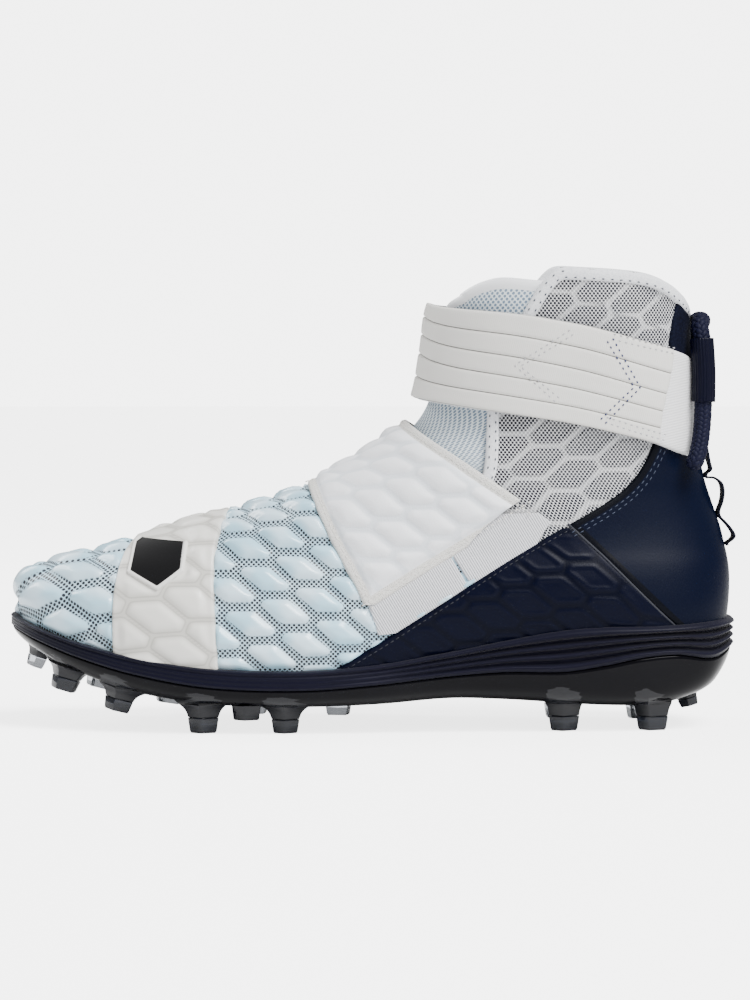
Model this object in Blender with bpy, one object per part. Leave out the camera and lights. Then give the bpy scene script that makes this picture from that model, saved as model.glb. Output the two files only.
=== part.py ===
"""American football cleat, a left high-top, standing empty on its studs.

Metres, +Z up, X forwards from heel to toe, Y towards the lateral side.
Inside this script x runs from the back of the heel; an empty then carries
every piece so that the frame's origin is at the bottom centre of the whole.
"""

import math
from collections import namedtuple

import bmesh
import bpy
from mathutils import Vector

# Driving sizes of the last and the shaft
LENGTH = 0.300
BALL_WIDTH = 0.102
INSTEP_RISE = 0.073
SHAFT_RISE = 0.060
BACK_HEIGHT = 0.1285
COLLAR_CREST = 0.014
LAST_SWING = 0.009

# Heights of the sole stack
STUD_HEIGHT = 0.0105
FOREFOOT_STACK = 0.0155
HEEL_STACK = 0.033
TOE_SPRING = 0.020
RIM_HEIGHT = 0.003
PLATE_WALL = 0.003

# Thicknesses of the soft pieces
GAP = 0.0003
WALL = 0.0022
LASTING_MARGIN = 0.012
INSOLE = 0.004
TONGUE = 0.004
PANEL = 0.0014
BAND = 0.0020
BADGE = 0.0012
INSTEP_STRAP = 0.0034
GORE = 0.0012
BINDING = 0.0010
ANKLE_STRAP = 0.0020
RIBBED_END = 0.0012

# Pull rope and heel webbing
ROPE_RADIUS = 0.0039
SLEEVE_WALL = 0.0006
WEBBING_WIDTH = 0.014
WEBBING_THICK = 0.0013

# Facets: columns from the toe tip to the widest place, and from there to the heel
FRONT_COLUMNS = 8
REAR_COLUMNS = 10
HEEL_COLUMN = FRONT_COLUMNS + REAR_COLUMNS
COLUMNS = 2 * HEEL_COLUMN

# One row for each level of the upper, from the rim of the sole to the collar.
# heel_x, front_x and widest are shares of LENGTH, half_width and waist of BALL_WIDTH,
# back of BACK_HEIGHT, vamp of INSTEP_RISE, shaft of SHAFT_RISE, crest of COLLAR_CREST.
# sag is how much the level follows the rise and fall of the rim.
Level = namedtuple(
    "Level",
    "heel_x back front_x vamp shaft half_width widest front_power heel_power waist sag crest",
)
LEVELS = [
    Level(0.013, 0.000, 0.990, 0.00, 0.00, 0.492, 0.665, 2.4, 3.2, 0.090, 1.00, 0.0),
    Level(0.010, 0.063, 0.988, 0.138, 0.00, 0.495, 0.655, 2.35, 3.1, 0.064, 0.80, 0.0),
    Level(0.009, 0.126, 0.972, 0.246, 0.00, 0.480, 0.643, 2.25, 3.0, 0.039, 0.55, 0.0),
    Level(0.011, 0.179, 0.938, 0.323, 0.00, 0.452, 0.627, 2.15, 3.0, 0.025, 0.35, 0.0),
    Level(0.016, 0.234, 0.872, 0.398, 0.00, 0.422, 0.603, 2.05, 2.9, 0.015, 0.20, 0.0),
    Level(0.022, 0.291, 0.791, 0.492, 0.00, 0.398, 0.567, 2.0, 2.8, 0.005, 0.12, 0.0),
    Level(0.032, 0.358, 0.707, 0.582, 0.00, 0.380, 0.510, 2.0, 2.7, 0.000, 0.05, 0.0),
    Level(0.042, 0.428, 0.620, 0.678, 0.00, 0.365, 0.440, 2.0, 2.6, 0.000, 0.00, 0.0),
    Level(0.049, 0.498, 0.535, 0.825, 0.00, 0.356, 0.360, 2.0, 2.5, 0.000, 0.00, 0.0),
    Level(0.054, 0.568, 0.473, 1.000, 0.00, 0.352, 0.300, 2.05, 2.4, 0.000, 0.00, 0.0),
    Level(0.057, 0.653, 0.432, 1.000, 0.24, 0.348, 0.263, 2.1, 2.3, 0.000, 0.00, 0.0),
    Level(0.059, 0.755, 0.417, 1.000, 0.58, 0.343, 0.247, 2.1, 2.3, 0.000, 0.00, 0.0),
    Level(0.062, 0.870, 0.410, 1.000, 0.85, 0.345, 0.237, 2.1, 2.3, 0.000, 0.00, 0.35),
    Level(0.066, 1.000, 0.399, 1.000, 1.00, 0.352, 0.230, 2.1, 2.3, 0.000, 0.00, 1.0),
]

# One row for each station of the sole, as a share of LENGTH from the heel.
# heelward runs from the forefoot's stack, 0, to the heel's, 1, and spring is a
# share of TOE_SPRING. split and depth are the bottom of the midsole and of the
# plate, as shares of the stack below the rim.
Station = namedtuple("Station", "at heelward spring split depth")
SOLE_STATIONS = [
    Station(0.00, 1.00, 0.10, 0.36, 0.58),
    Station(0.03, 1.00, 0.07, 0.46, 0.84),
    Station(0.08, 1.00, 0.02, 0.37, 0.96),
    Station(0.13, 1.00, 0.00, 0.39, 1.00),
    Station(0.18, 0.99, 0.00, 0.48, 1.00),
    Station(0.24, 0.91, 0.00, 0.54, 0.97),
    Station(0.32, 0.67, 0.00, 0.47, 0.91),
    Station(0.40, 0.40, 0.00, 0.44, 0.87),
    Station(0.50, 0.12, 0.00, 0.47, 0.96),
    Station(0.60, 0.00, 0.00, 0.52, 1.00),
    Station(0.72, 0.00, 0.05, 0.51, 1.00),
    Station(0.82, 0.00, 0.25, 0.46, 0.98),
    Station(0.90, 0.00, 0.52, 0.40, 0.86),
    Station(0.96, 0.00, 0.79, 0.35, 0.71),
    Station(1.00, 0.00, 1.00, 0.32, 0.60),
]

# The midsole's side from its bottom edge up to the rim: share of its height,
# outset from the feather line, and the extra outset of the heel's ribs.
SideStep = namedtuple("SideStep", "up outset rib")
MIDSOLE_SIDE = [
    SideStep(0.00, 0.0042, 0.0000),
    SideStep(0.12, 0.0046, 0.0008),
    SideStep(0.26, 0.0042, -0.0018),
    SideStep(0.40, 0.0046, 0.0006),
    SideStep(0.54, 0.0042, -0.0018),
    SideStep(0.68, 0.0046, 0.0006),
    SideStep(0.80, 0.0042, -0.0014),
    SideStep(0.93, 0.0046, 0.0006),
    SideStep(1.00, 0.0038, 0.0000),
]

# The plate's side from its bottom up to the split: share of its height and outset.
PlateStep = namedtuple("PlateStep", "up outset")
PLATE_SIDE = [
    PlateStep(0.00, -0.0090),
    PlateStep(0.10, -0.0030),
    PlateStep(0.45, 0.0020),
    PlateStep(1.00, 0.0040),
]

# Studs: station and side are shares of LENGTH and of the half width there
# (lateral side positive), size is the tip's length along the shoe, tip is the
# height of the tip's face above the floor, as a share of STUD_HEIGHT, lean is
# the stud's tilt about Y in degrees, and turn its heading in degrees.
Stud = namedtuple("Stud", "name station side size tip lean turn")
STUDS = [
    Stud("toe", 0.962, -0.10, 0.0090, 2.20, 19, 90),
    Stud("lateral_1", 0.918, 0.66, 0.0105, 1.50, 17, -24),
    Stud("lateral_2", 0.842, 0.80, 0.0105, 0.80, 15, -8),
    Stud("lateral_3", 0.730, 0.84, 0.0110, 0.00, 0, 0),
    Stud("lateral_4", 0.618, 0.83, 0.0100, 0.00, 0, 6),
    Stud("medial_1", 0.880, -0.74, 0.0105, 1.15, 16, 20),
    Stud("medial_2", 0.785, -0.83, 0.0105, 0.45, 9, 6),
    Stud("medial_3", 0.668, -0.84, 0.0110, 0.00, 0, 0),
    Stud("medial_4", 0.548, -0.80, 0.0100, 0.00, 0, -8),
    Stud("heel_lateral_front", 0.236, 0.72, 0.0110, 0.00, 0, 4),
    Stud("heel_lateral_rear", 0.114, 0.70, 0.0115, 0.00, 0, -6),
    Stud("heel_medial_front", 0.236, -0.72, 0.0110, 0.00, 0, -4),
    Stud("heel_medial_rear", 0.120, -0.70, 0.0115, 0.00, 0, 6),
    Stud("heel_back", 0.062, -0.08, 0.0090, 0.72, -17, 90),
]
STUD_WIDTH_RATIO = 0.72
STUD_JOINT = 0.46
STUD_ROOT_SPREAD = 1.75
STUD_NECK_SPREAD = 1.32
STUD_JOINT_SPREAD = 1.14
LOW_LUG = Stud("low", 0.671, 0.86, 0.0105, 0.52, 0, 0)
LOW_LUG_ROOT_SPREAD = 1.15

# Outlines as the side view shows them: share of LENGTH from the heel, and share
# of the height between the rim of the sole and the collar's crest.
SEAM = [(0.076, -0.02), (0.231, 0.288)]
COUNTER_TOP = [
    (0.231, 0.288),
    (0.186, 0.335),
    (0.149, 0.390),
    (0.124, 0.463),
    (0.106, 0.562),
    (0.096, 0.661),
    (0.094, 0.770),
    (0.087, 0.858),
    (0.076, 0.946),
    (0.055, 1.100),
]
PANEL_TOP = [(0.231, 0.288), (0.364, 0.168), (0.481, 0.064), (0.572, -0.020)]
INSTEP_STRAP_FRONT = [(0.640, 0.640), (0.592, 0.460), (0.557, 0.320), (0.523, 0.200), (0.507, 0.140)]
INSTEP_STRAP_REAR = [(0.281, 0.345), (0.365, 0.475), (0.445, 0.588), (0.480, 0.660)]
GORE_LOW = [(0.240, 0.290), (0.364, 0.178), (0.368, 0.175), (0.488, 0.068)]
GORE_SPLIT = 0.49
BAND_FRONT = [(0.851, -0.02), (0.853, 0.108), (0.848, 0.192), (0.838, 0.255), (0.812, 0.320), (0.790, 0.360)]
BAND_REAR = [(0.706, -0.02), (0.713, 0.142), (0.714, 0.249), (0.708, 0.328), (0.690, 0.400), (0.680, 0.440)]
ANKLE_STRAP_TOP = [(0.48, 0.905), (0.415, 0.892), (0.307, 0.872), (0.239, 0.848), (0.183, 0.822),
                   (0.090, 0.762), (0.059, 0.726), (0.000, 0.690)]
ANKLE_STRAP_BOTTOM = [(0.48, 0.665), (0.437, 0.650), (0.322, 0.606), (0.214, 0.560), (0.122, 0.510),
                      (0.069, 0.465), (0.000, 0.430)]
RIBBED_END_REAR = [(0.097, 0.90), (0.097, 0.734), (0.111, 0.565), (0.114, 0.38)]
THROAT = [(0.236, 1.10), (0.243, 0.995), (0.262, 0.960), (0.281, 0.905), (0.315, 0.782), (0.338, 0.650), (0.344, 0.462),
          (0.367, 0.408), (0.419, 0.430), (0.468, 0.520), (0.500, 0.600)]
THROAT_FRONT = [(0.56, 0.80), (0.50, 1.10)]
TONGUE_EDGE = [(0.215, 0.955), (0.222, 0.940), (0.245, 0.880), (0.277, 0.782), (0.298, 0.650), (0.302, 0.455),
               (0.330, 0.365), (0.419, 0.370), (0.500, 0.420), (0.560, 0.470)]
TONGUE_FRONT = [(0.62, 0.80), (0.40, 0.940), (0.365, 0.972), (0.32, 0.970), (0.27, 0.950)]
BINDING_WIDTH = 0.016
BADGE_OUTLINE = [(0.833, 0.200), (0.826, 0.275), (0.790, 0.330), (0.748, 0.300), (0.755, 0.225), (0.790, 0.172)]


def share_between(low, high, value):
    return (value - low) / (high - low)


def smooth_table(rows, at, column):
    """A column of a table read at any place, on a Catmull-Rom curve through its rows."""
    last = len(rows) - 1
    index = 0
    while index < last - 1 and rows[index + 1].at < at:
        index += 1
    before, low, high, after = (rows[min(max(index + step, 0), last)] for step in (-1, 0, 1, 2))
    width = high.at - low.at
    t = min(max((at - low.at) / width, 0.0), 1.0)
    p0, p1, p2, p3 = (getattr(row, column) for row in (before, low, high, after))
    slope_low = (p2 - p0) / max(high.at - before.at, width) * width
    slope_high = (p3 - p1) / max(after.at - low.at, width) * width
    return (
        (2 * t**3 - 3 * t**2 + 1) * p1
        + (t**3 - 2 * t**2 + t) * slope_low
        + (3 * t**2 - 2 * t**3) * p2
        + (t**3 - t**2) * slope_high
    )


def stack_height(x):
    """From the plate's lowest line up to the rim, at this distance from the heel."""
    heelward = smooth_table(SOLE_STATIONS, x / LENGTH, "heelward")
    return FOREFOOT_STACK + (HEEL_STACK - FOREFOOT_STACK) * heelward


def rim_height(x):
    spring = smooth_table(SOLE_STATIONS, x / LENGTH, "spring")
    return STUD_HEIGHT + stack_height(x) + TOE_SPRING * spring


def feather_height(x):
    return rim_height(x) - RIM_HEIGHT


def split_height(x):
    return rim_height(x) - stack_height(x) * smooth_table(SOLE_STATIONS, x / LENGTH, "split")


def plate_bottom(x):
    return rim_height(x) - stack_height(x) * smooth_table(SOLE_STATIONS, x / LENGTH, "depth")


def last_centre(x):
    """The last's centre line swings to the medial side towards the toe."""
    return -LAST_SWING * max(0.0, share_between(0.3, 1.0, x / LENGTH)) ** 2


def superellipse(share, power):
    return max(0.0, 1 - share**power) ** (1 / power)


def side_curve(level, quarter, count):
    """Points of one level on one side: quarter 0 from the toe tip to the widest place, 1 on to the heel."""
    widest, half_width = level.widest * LENGTH, level.half_width * BALL_WIDTH
    points = []
    for step in range(count + 1):
        angle = math.pi / 2 * step / count
        power = (level.front_power, level.heel_power)[quarter]
        along = abs(math.cos(angle)) ** (2 / power) if quarter == 0 else abs(math.sin(angle)) ** (2 / power)
        if quarter == 0:
            x = widest + (level.front_x * LENGTH - widest) * along
            y = half_width * superellipse(along, power)
        else:
            x = widest - (widest - level.heel_x * LENGTH) * along
            y = half_width * superellipse(along, power)
            y -= level.waist * BALL_WIDTH * math.sin(math.pi * along) ** 2
        points.append(Vector((x, y)))
    return points


def evenly(points, count):
    """The same path with its points an equal distance apart."""
    travelled = [0.0]
    for a, b in zip(points, points[1:]):
        travelled.append(travelled[-1] + (b - a).length)
    result = []
    index = 0
    for step in range(count + 1):
        target = travelled[-1] * step / count
        while index < len(points) - 2 and travelled[index + 1] < target:
            index += 1
        t = (target - travelled[index]) / (travelled[index + 1] - travelled[index])
        result.append(points[index].lerp(points[index + 1], t))
    return result


def level_row(level):
    """One closed row of points round the shoe: toe tip, lateral side, heel, medial side."""
    front = evenly(side_curve(level, 0, 60), FRONT_COLUMNS)
    rear = evenly(side_curve(level, 1, 60), REAR_COLUMNS)
    side = front + rear[1:]
    heel_rim, toe_rim = rim_height(0), rim_height(LENGTH)
    heel_z = heel_rim + level.back * BACK_HEIGHT
    front_z = toe_rim + level.vamp * INSTEP_RISE + level.shaft * SHAFT_RISE
    heel_x, front_x = level.heel_x * LENGTH, level.front_x * LENGTH
    row = []
    for column in range(COLUMNS):
        mirrored = column > HEEL_COLUMN
        x, y = side[COLUMNS - column if mirrored else column]
        q = min(max((x - heel_x) / (front_x - heel_x), 0.0), 1.0)
        chord = heel_rim + (toe_rim - heel_rim) * q
        z = heel_z + (front_z - heel_z) * q + level.sag * (rim_height(x) - chord)
        z += level.crest * COLLAR_CREST * (1 - abs(2 * q - 1) ** 6)
        row.append(Vector((x, last_centre(x) + (-y if mirrored else y), z)))
    return row


def outward(row, column):
    """The level direction away from the shoe at a column of a row."""
    along = row[(column + 1) % COLUMNS] - row[column - 1]
    return Vector((along.y, -along.x, 0)).normalized()


def plan_row(row, outset, height, rib=0.0):
    """The row's plan outline moved out, at height, a function of x; rib is a further outset at the heel."""
    moved_row = []
    for column, point in enumerate(row):
        heelward = min(max(smooth_table(SOLE_STATIONS, point.x / LENGTH, "heelward"), 0.0), 1.0)
        x, y, _ = point + outward(row, column) * (outset + rib * heelward)
        moved_row.append(Vector((x, y, height(x))))
    return moved_row


RIM_ROW = level_row(LEVELS[0])
FEATHER_INSET = 0.0008
FEATHER_ROW = plan_row(RIM_ROW, -FEATHER_INSET, feather_height)
MARGIN_ROW = plan_row(FEATHER_ROW, -LASTING_MARGIN, feather_height)
LEVEL_ROWS = [level_row(level) for level in LEVELS]
SKIN = [MARGIN_ROW, FEATHER_ROW, *LEVEL_ROWS]
FIRST_LEVEL = 2
COLLAR_TOP = max(point.z for point in LEVEL_ROWS[-1])


def skin_at(offset):
    """The rows of the upper's outer face, moved out along its normals by offset."""
    moved = []
    for index, row in enumerate(SKIN):
        below, above = SKIN[max(index - 1, 0)], SKIN[min(index + 1, len(SKIN) - 1)]
        new_row = []
        for column, point in enumerate(row):
            along = row[(column + 1) % COLUMNS] - row[column - 1]
            across = above[column] - below[column]
            new_row.append(point + along.cross(across).normalized() * offset)
        moved.append(new_row)
    return moved


def skin_point(column, level, offset):
    """A point over the upper at a column and a fractional level."""
    rows = skin_at(offset)[FIRST_LEVEL:]
    index = min(int(level), len(rows) - 2)
    low_column = int(column)
    corners = [
        rows[row][at % COLUMNS] for row in (index, index + 1) for at in (low_column, low_column + 1)
    ]
    t = column - low_column
    return corners[0].lerp(corners[1], t).lerp(corners[2].lerp(corners[3], t), level - index)


def new_collection(name):
    collection = bpy.data.collections.new(name)
    bpy.context.scene.collection.children.link(collection)
    return collection


def clear_scene():
    for obj in list(bpy.data.objects):
        bpy.data.objects.remove(obj)


def make_material(name, colour, roughness, metallic=0.0):
    material = bpy.data.materials.new(name)
    material.use_nodes = True
    shader = material.node_tree.nodes["Principled BSDF"]
    shader.inputs["Base Color"].default_value = (*colour, 1)
    shader.inputs["Roughness"].default_value = roughness
    shader.inputs["Metallic"].default_value = metallic
    return material


clear_scene()
PIECES = new_collection("football_cleat")
CUTTERS = new_collection("cutters")
FRAME = bpy.data.objects.new("cleat_frame", None)
PIECES.objects.link(FRAME)

MESH_FABRIC = make_material("ice_mesh", (0.68, 0.80, 0.85), 0.6)
TONGUE_FABRIC = make_material("tongue_mesh", (0.80, 0.86, 0.88), 0.8)
NAVY_SKIN = make_material("navy_skin", (0.015, 0.025, 0.070), 0.45)
CREAM_SKIN = make_material("cream_skin", (0.78, 0.77, 0.73), 0.5)
BLACK_GLOSS = make_material("black_gloss", (0.01, 0.01, 0.012), 0.15)
WHITE_SKIN = make_material("white_skin", (0.85, 0.85, 0.86), 0.5)
WHITE_ELASTIC = make_material("white_elastic", (0.80, 0.80, 0.81), 0.85)
CREAM_ELASTIC = make_material("cream_elastic", (0.78, 0.77, 0.74), 0.7)
NAVY_FOAM = make_material("navy_foam", (0.020, 0.022, 0.060), 0.5)
BLACK_PLATE = make_material("black_plate", (0.015, 0.015, 0.020), 0.3)
CLEAR_TIP = make_material("smoke_tip", (0.06, 0.07, 0.09), 0.15)
NAVY_ROPE = make_material("navy_rope", (0.020, 0.022, 0.10), 0.7)
NAVY_WEBBING = make_material("navy_webbing", (0.010, 0.012, 0.03), 0.8)
INSOLE_FOAM = make_material("insole_foam", (0.10, 0.12, 0.18), 0.9)


def object_from(name, bm, collection):
    bmesh.ops.recalc_face_normals(bm, faces=bm.faces)
    mesh = bpy.data.meshes.new(name)
    bm.to_mesh(mesh)
    bm.free()
    obj = bpy.data.objects.new(name, mesh)
    collection.objects.link(obj)
    return obj


def as_piece(obj, material):
    obj.parent = FRAME
    obj.data.materials.clear()
    obj.data.materials.append(material)
    return obj


def as_cutter(obj):
    obj.parent = FRAME
    obj.hide_render = True
    obj.display_type = "WIRE"
    return obj


def strip_cap(bm, ring):
    """Closes a row by strips from the lateral to the medial side, so that it follows the row's rise."""
    bm.faces.new((ring[0], ring[1], ring[-1]))
    for step in range(1, HEEL_COLUMN - 1):
        bm.faces.new((ring[step], ring[step + 1], ring[-step]))
        bm.faces.new((ring[step + 1], ring[-step - 1], ring[-step]))
    bm.faces.new((ring[HEEL_COLUMN - 1], ring[HEEL_COLUMN], ring[HEEL_COLUMN + 1]))


def loft(name, rows, collection, closed_loop, turn_at=None):
    """A closed body through rows: joined back to the first one, or capped at both ends.

    From the row turn_at on, the rows come back down, and the facets' diagonals are
    turned too, so that the faces of two nested bodies run alongside each other.
    """
    bm = bmesh.new()
    rings = [[bm.verts.new(point) for point in row] for row in rows]
    pairs = list(zip(rings, rings[1:] + rings[:1]))
    for index, (ring, after) in enumerate(pairs if closed_loop else pairs[:-1]):
        turned = turn_at is not None and index >= turn_at
        for i in range(len(ring)):
            near, far = (ring[i - 1], ring[i]), (after[i - 1], after[i])
            if turned:
                bm.faces.new((*near, far[0]))
                bm.faces.new((near[1], far[1], far[0]))
            else:
                bm.faces.new((*near, far[1]))
                bm.faces.new((near[0], far[1], far[0]))
    if not closed_loop:
        strip_cap(bm, rings[0])
        strip_cap(bm, rings[-1])
    return object_from(name, bm, collection)


def shell(name, inner, outer, collection, first=0):
    """The closed wall between two offsets of the upper's outer face."""
    outside, inside = skin_at(outer)[first:], skin_at(inner)[first:]
    return loft(name, outside + inside[::-1], collection, closed_loop=True, turn_at=len(outside))


def on_side(point):
    """A point of an outline as x and z in metres."""
    x = point[0] * LENGTH
    rim = rim_height(min(max(x, 0.0), LENGTH))
    return Vector((x, rim + point[1] * (COLLAR_TOP - rim)))


def curve_through(points, steps=2):
    """A smooth path through the points of an outline's curved edge."""
    last = len(points) - 1
    path = []
    for index in range(last):
        p0, p1, p2, p3 = (Vector(points[min(max(index + k, 0), last)]) for k in (-1, 0, 1, 2))
        for step in range(steps):
            t = step / steps
            path.append(
                0.5 * (2 * p1 + (p2 - p0) * t + (2 * p0 - 5 * p1 + 4 * p2 - p3) * t**2
                       + (3 * p1 - p0 - 3 * p2 + p3) * t**3)
            )
    return path + [Vector(points[-1])]


def prism(name, outline, y_low, y_high, collection):
    """An outline in the side view, in metres, carried straight across the shoe."""
    bm = bmesh.new()
    face = bm.faces.new([bm.verts.new((x, y_low, z)) for x, z in outline])
    made = bmesh.ops.extrude_face_region(bm, geom=[face])["geom"]
    bmesh.ops.translate(
        bm, vec=(0, y_high - y_low, 0), verts=[v for v in made if isinstance(v, bmesh.types.BMVert)]
    )
    return object_from(name, bm, collection)


BOTH = (-BALL_WIDTH, BALL_WIDTH)
LATERAL = (0.0, BALL_WIDTH)
MEDIAL = (-BALL_WIDTH, 0.0)


def boolean(obj, cutter, operation):
    modifier = obj.modifiers.new(operation.lower(), "BOOLEAN")
    modifier.operation = operation
    modifier.solver = "EXACT"
    modifier.object = as_cutter(cutter)


def overlay(name, inner, thickness, outline, sides, material):
    """A layer over the upper, between two forms of its own face, within an outline of the side view."""
    piece = shell(name, inner, inner + thickness, PIECES, first=1)
    boolean(piece, prism(f"{name}_outline", outline, *sides, CUTTERS), "INTERSECT")
    return as_piece(piece, material)


def metres(points):
    return [on_side(point) for point in points]


def moved(points, dx=0.0, dz=0.0):
    return [Vector((x + dx, z + dz)) for x, z in points]


def rim_line(x):
    """Where the pieces that stand on the rim of the sole begin."""
    return rim_height(min(max(x, 0.0), LENGTH)) + GAP


def standing_on_rim(path, count=14):
    """Closes a path from rim to rim, both ends of it below the rim, along the rim's line."""
    def crossing(low, high):
        depth_low, depth_high = low.y - rim_line(low.x), high.y - rim_line(high.x)
        return low.lerp(high, share_between(depth_low, depth_high, 0.0))

    above = [point for point in path if point.y > rim_line(point.x)]
    start = crossing(path[path.index(above[0]) - 1], above[0])
    end = crossing(path[path.index(above[-1]) + 1], above[-1])
    xs = [end.x + (start.x - end.x) * step / count for step in range(1, count)]
    return [start, *above, end] + [Vector((x, rim_line(x))) for x in xs]


def make_upper():
    upper = shell("upper", -WALL, 0.0, PIECES)
    outline = metres(curve_through(THROAT)) + metres(THROAT_FRONT)
    boolean(upper, prism("throat", outline, *BOTH, CUTTERS), "DIFFERENCE")
    return as_piece(upper, MESH_FABRIC)


def make_tongue():
    inner = -(WALL + GAP + TONGUE)
    tongue = shell("tongue", inner, inner + TONGUE, PIECES, first=FIRST_LEVEL + 3)
    outline = metres(curve_through(TONGUE_EDGE)) + metres(TONGUE_FRONT)
    boolean(tongue, prism("tongue_outline", outline, *BOTH, CUTTERS), "INTERSECT")
    return as_piece(tongue, TONGUE_FABRIC)


def make_insole():
    inset = -(WALL + 2 * GAP)
    under = lambda x: feather_height(x) + WALL + GAP
    over = lambda x: under(x) + INSOLE
    rows = [
        plan_row(FEATHER_ROW, inset, under),
        plan_row(FEATHER_ROW, inset, over),
    ]
    return as_piece(loft("insole", rows, PIECES, closed_loop=False), INSOLE_FOAM)


def make_midsole():
    """Foam: a core in the plate's cup, a ribbed side and a low rim round the upper."""
    core_inset = -(PLATE_WALL + GAP)
    core_bottom = lambda x: plate_bottom(x) + PLATE_WALL + GAP
    shoulder = lambda x: split_height(x) + GAP
    rows = [
        plan_row(FEATHER_ROW, PLATE_SIDE[1].outset + core_inset, core_bottom),
        plan_row(FEATHER_ROW, PLATE_SIDE[-1].outset + core_inset, shoulder),
    ]
    for step in MIDSOLE_SIDE:
        side = lambda x, up=step.up: shoulder(x) + (rim_height(x) - shoulder(x)) * up
        rows.append(plan_row(FEATHER_ROW, step.outset, side, step.rib))
    clear_skin = skin_at(GAP)
    cup_wall, cup_floor = clear_skin[FIRST_LEVEL], clear_skin[FIRST_LEVEL - 1]
    rows.append(cup_wall)
    rows.append([point - Vector((0, 0, GAP)) for point in cup_floor])
    return as_piece(loft("midsole", rows, PIECES, closed_loop=False, turn_at=len(rows) - 2), NAVY_FOAM)


def stud_section(stud, spread):
    """Five-sided section with its ridge to the outside, in the stud's own frame."""
    length, width = stud.size * spread, stud.size * STUD_WIDTH_RATIO * spread
    outside = 1 if stud.side >= 0 else -1
    shape = [(0.50, 0.10), (0.08, 0.60), (-0.50, 0.16), (-0.42, -0.50), (0.42, -0.50)]
    return [(x * length, y * width * outside) for x, y in shape]


def sole_half_width(x):
    """From the last's centre line to the rim on the lateral side, at this distance from the heel."""
    side = RIM_ROW[: HEEL_COLUMN + 1]
    index = next(i for i, point in enumerate(side) if point.x <= x)
    behind, ahead = side[index], side[index - 1]
    y = behind.y + (ahead.y - behind.y) * share_between(behind.x, ahead.x, x)
    return y - last_centre(x)


def stud_place(stud):
    """The stud's foot on the plate's bottom, its downward direction and its drop to the tip."""
    x = stud.station * LENGTH
    root = Vector((x, last_centre(x) + sole_half_width(x) * stud.side, plate_bottom(x)))
    lean = math.radians(stud.lean)
    down = Vector((math.sin(lean), 0, -math.cos(lean)))
    drop = (root.z - stud.tip * STUD_HEIGHT) / math.cos(lean)
    return root, down, drop


def stud_ring(stud, spread, distance):
    root, down, _ = stud_place(stud)
    side = down.cross(Vector((0, 1, 0))).normalized()
    across = Vector((0, 1, 0))
    turn = math.radians(stud.turn)
    ring = []
    for x, y in stud_section(stud, spread):
        turned_x = x * math.cos(turn) - y * math.sin(turn)
        turned_y = x * math.sin(turn) + y * math.cos(turn)
        ring.append(root + side * turned_x + across * turned_y + down * distance)
    return ring


def stud_body(bm, rings):
    made = [[bm.verts.new(point) for point in ring] for ring in rings]
    for ring, after in zip(made, made[1:]):
        for i in range(len(ring)):
            bm.faces.new((ring[i - 1], ring[i], after[i], after[i - 1]))
    bm.faces.new(made[0])
    bm.faces.new(made[-1])


def make_plate():
    """One moulding: a thin cup, the roots of the studs and a low lug between two of them."""
    rows = []
    for step in PLATE_SIDE:
        height = lambda x, up=step.up: plate_bottom(x) + (split_height(x) - plate_bottom(x)) * up
        rows.append(plan_row(FEATHER_ROW, step.outset, height))
    rows.append(plan_row(FEATHER_ROW, PLATE_SIDE[-1].outset - PLATE_WALL, split_height))
    inside_bottom = lambda x: plate_bottom(x) + PLATE_WALL
    rows.append(plan_row(FEATHER_ROW, PLATE_SIDE[1].outset - PLATE_WALL, inside_bottom))
    plate = loft("outsole_plate", rows, PIECES, closed_loop=False, turn_at=len(PLATE_SIDE) - 1)
    bm = bmesh.new()
    sunk = -0.5 * PLATE_WALL
    for stud in STUDS:
        drop = stud_place(stud)[2]
        joint = drop * STUD_JOINT
        rings = [
            stud_ring(stud, STUD_ROOT_SPREAD, sunk),
            stud_ring(stud, STUD_NECK_SPREAD, joint * 0.4),
            stud_ring(stud, STUD_JOINT_SPREAD, joint),
        ]
        stud_body(bm, rings)
    lug_drop = stud_place(LOW_LUG)[2]
    lug = [stud_ring(LOW_LUG, LOW_LUG_ROOT_SPREAD, sunk), stud_ring(LOW_LUG, 1.0, lug_drop)]
    stud_body(bm, lug)
    boolean(plate, object_from("stud_roots", bm, CUTTERS), "UNION")
    return as_piece(plate, BLACK_PLATE)


def make_stud_tips():
    for stud in STUDS:
        drop = stud_place(stud)[2]
        bm = bmesh.new()
        rings = [
            stud_ring(stud, STUD_JOINT_SPREAD, drop * STUD_JOINT + GAP),
            stud_ring(stud, 1.0, drop),
        ]
        stud_body(bm, rings)
        as_piece(object_from(f"stud_tip_{stud.name}", bm, PIECES), CLEAR_TIP)


def make_panels():
    """Smooth heel counter and two embossed side panels, standing on the rim of the sole."""
    seam = metres(SEAM)
    counter = seam + metres(curve_through(COUNTER_TOP))[1:]
    behind = -LASTING_MARGIN
    counter += [Vector((behind, counter[-1].y)), Vector((behind, 0))]
    overlay("heel_counter", GAP, PANEL, standing_on_rim(counter), BOTH, NAVY_SKIN)
    panel = moved(seam, dx=2 * GAP) + metres(curve_through(PANEL_TOP))[1:]
    for name, side in (("lateral", LATERAL), ("medial", MEDIAL)):
        overlay(f"side_panel_{name}", GAP, PANEL, standing_on_rim(panel), side, NAVY_SKIN)


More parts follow.
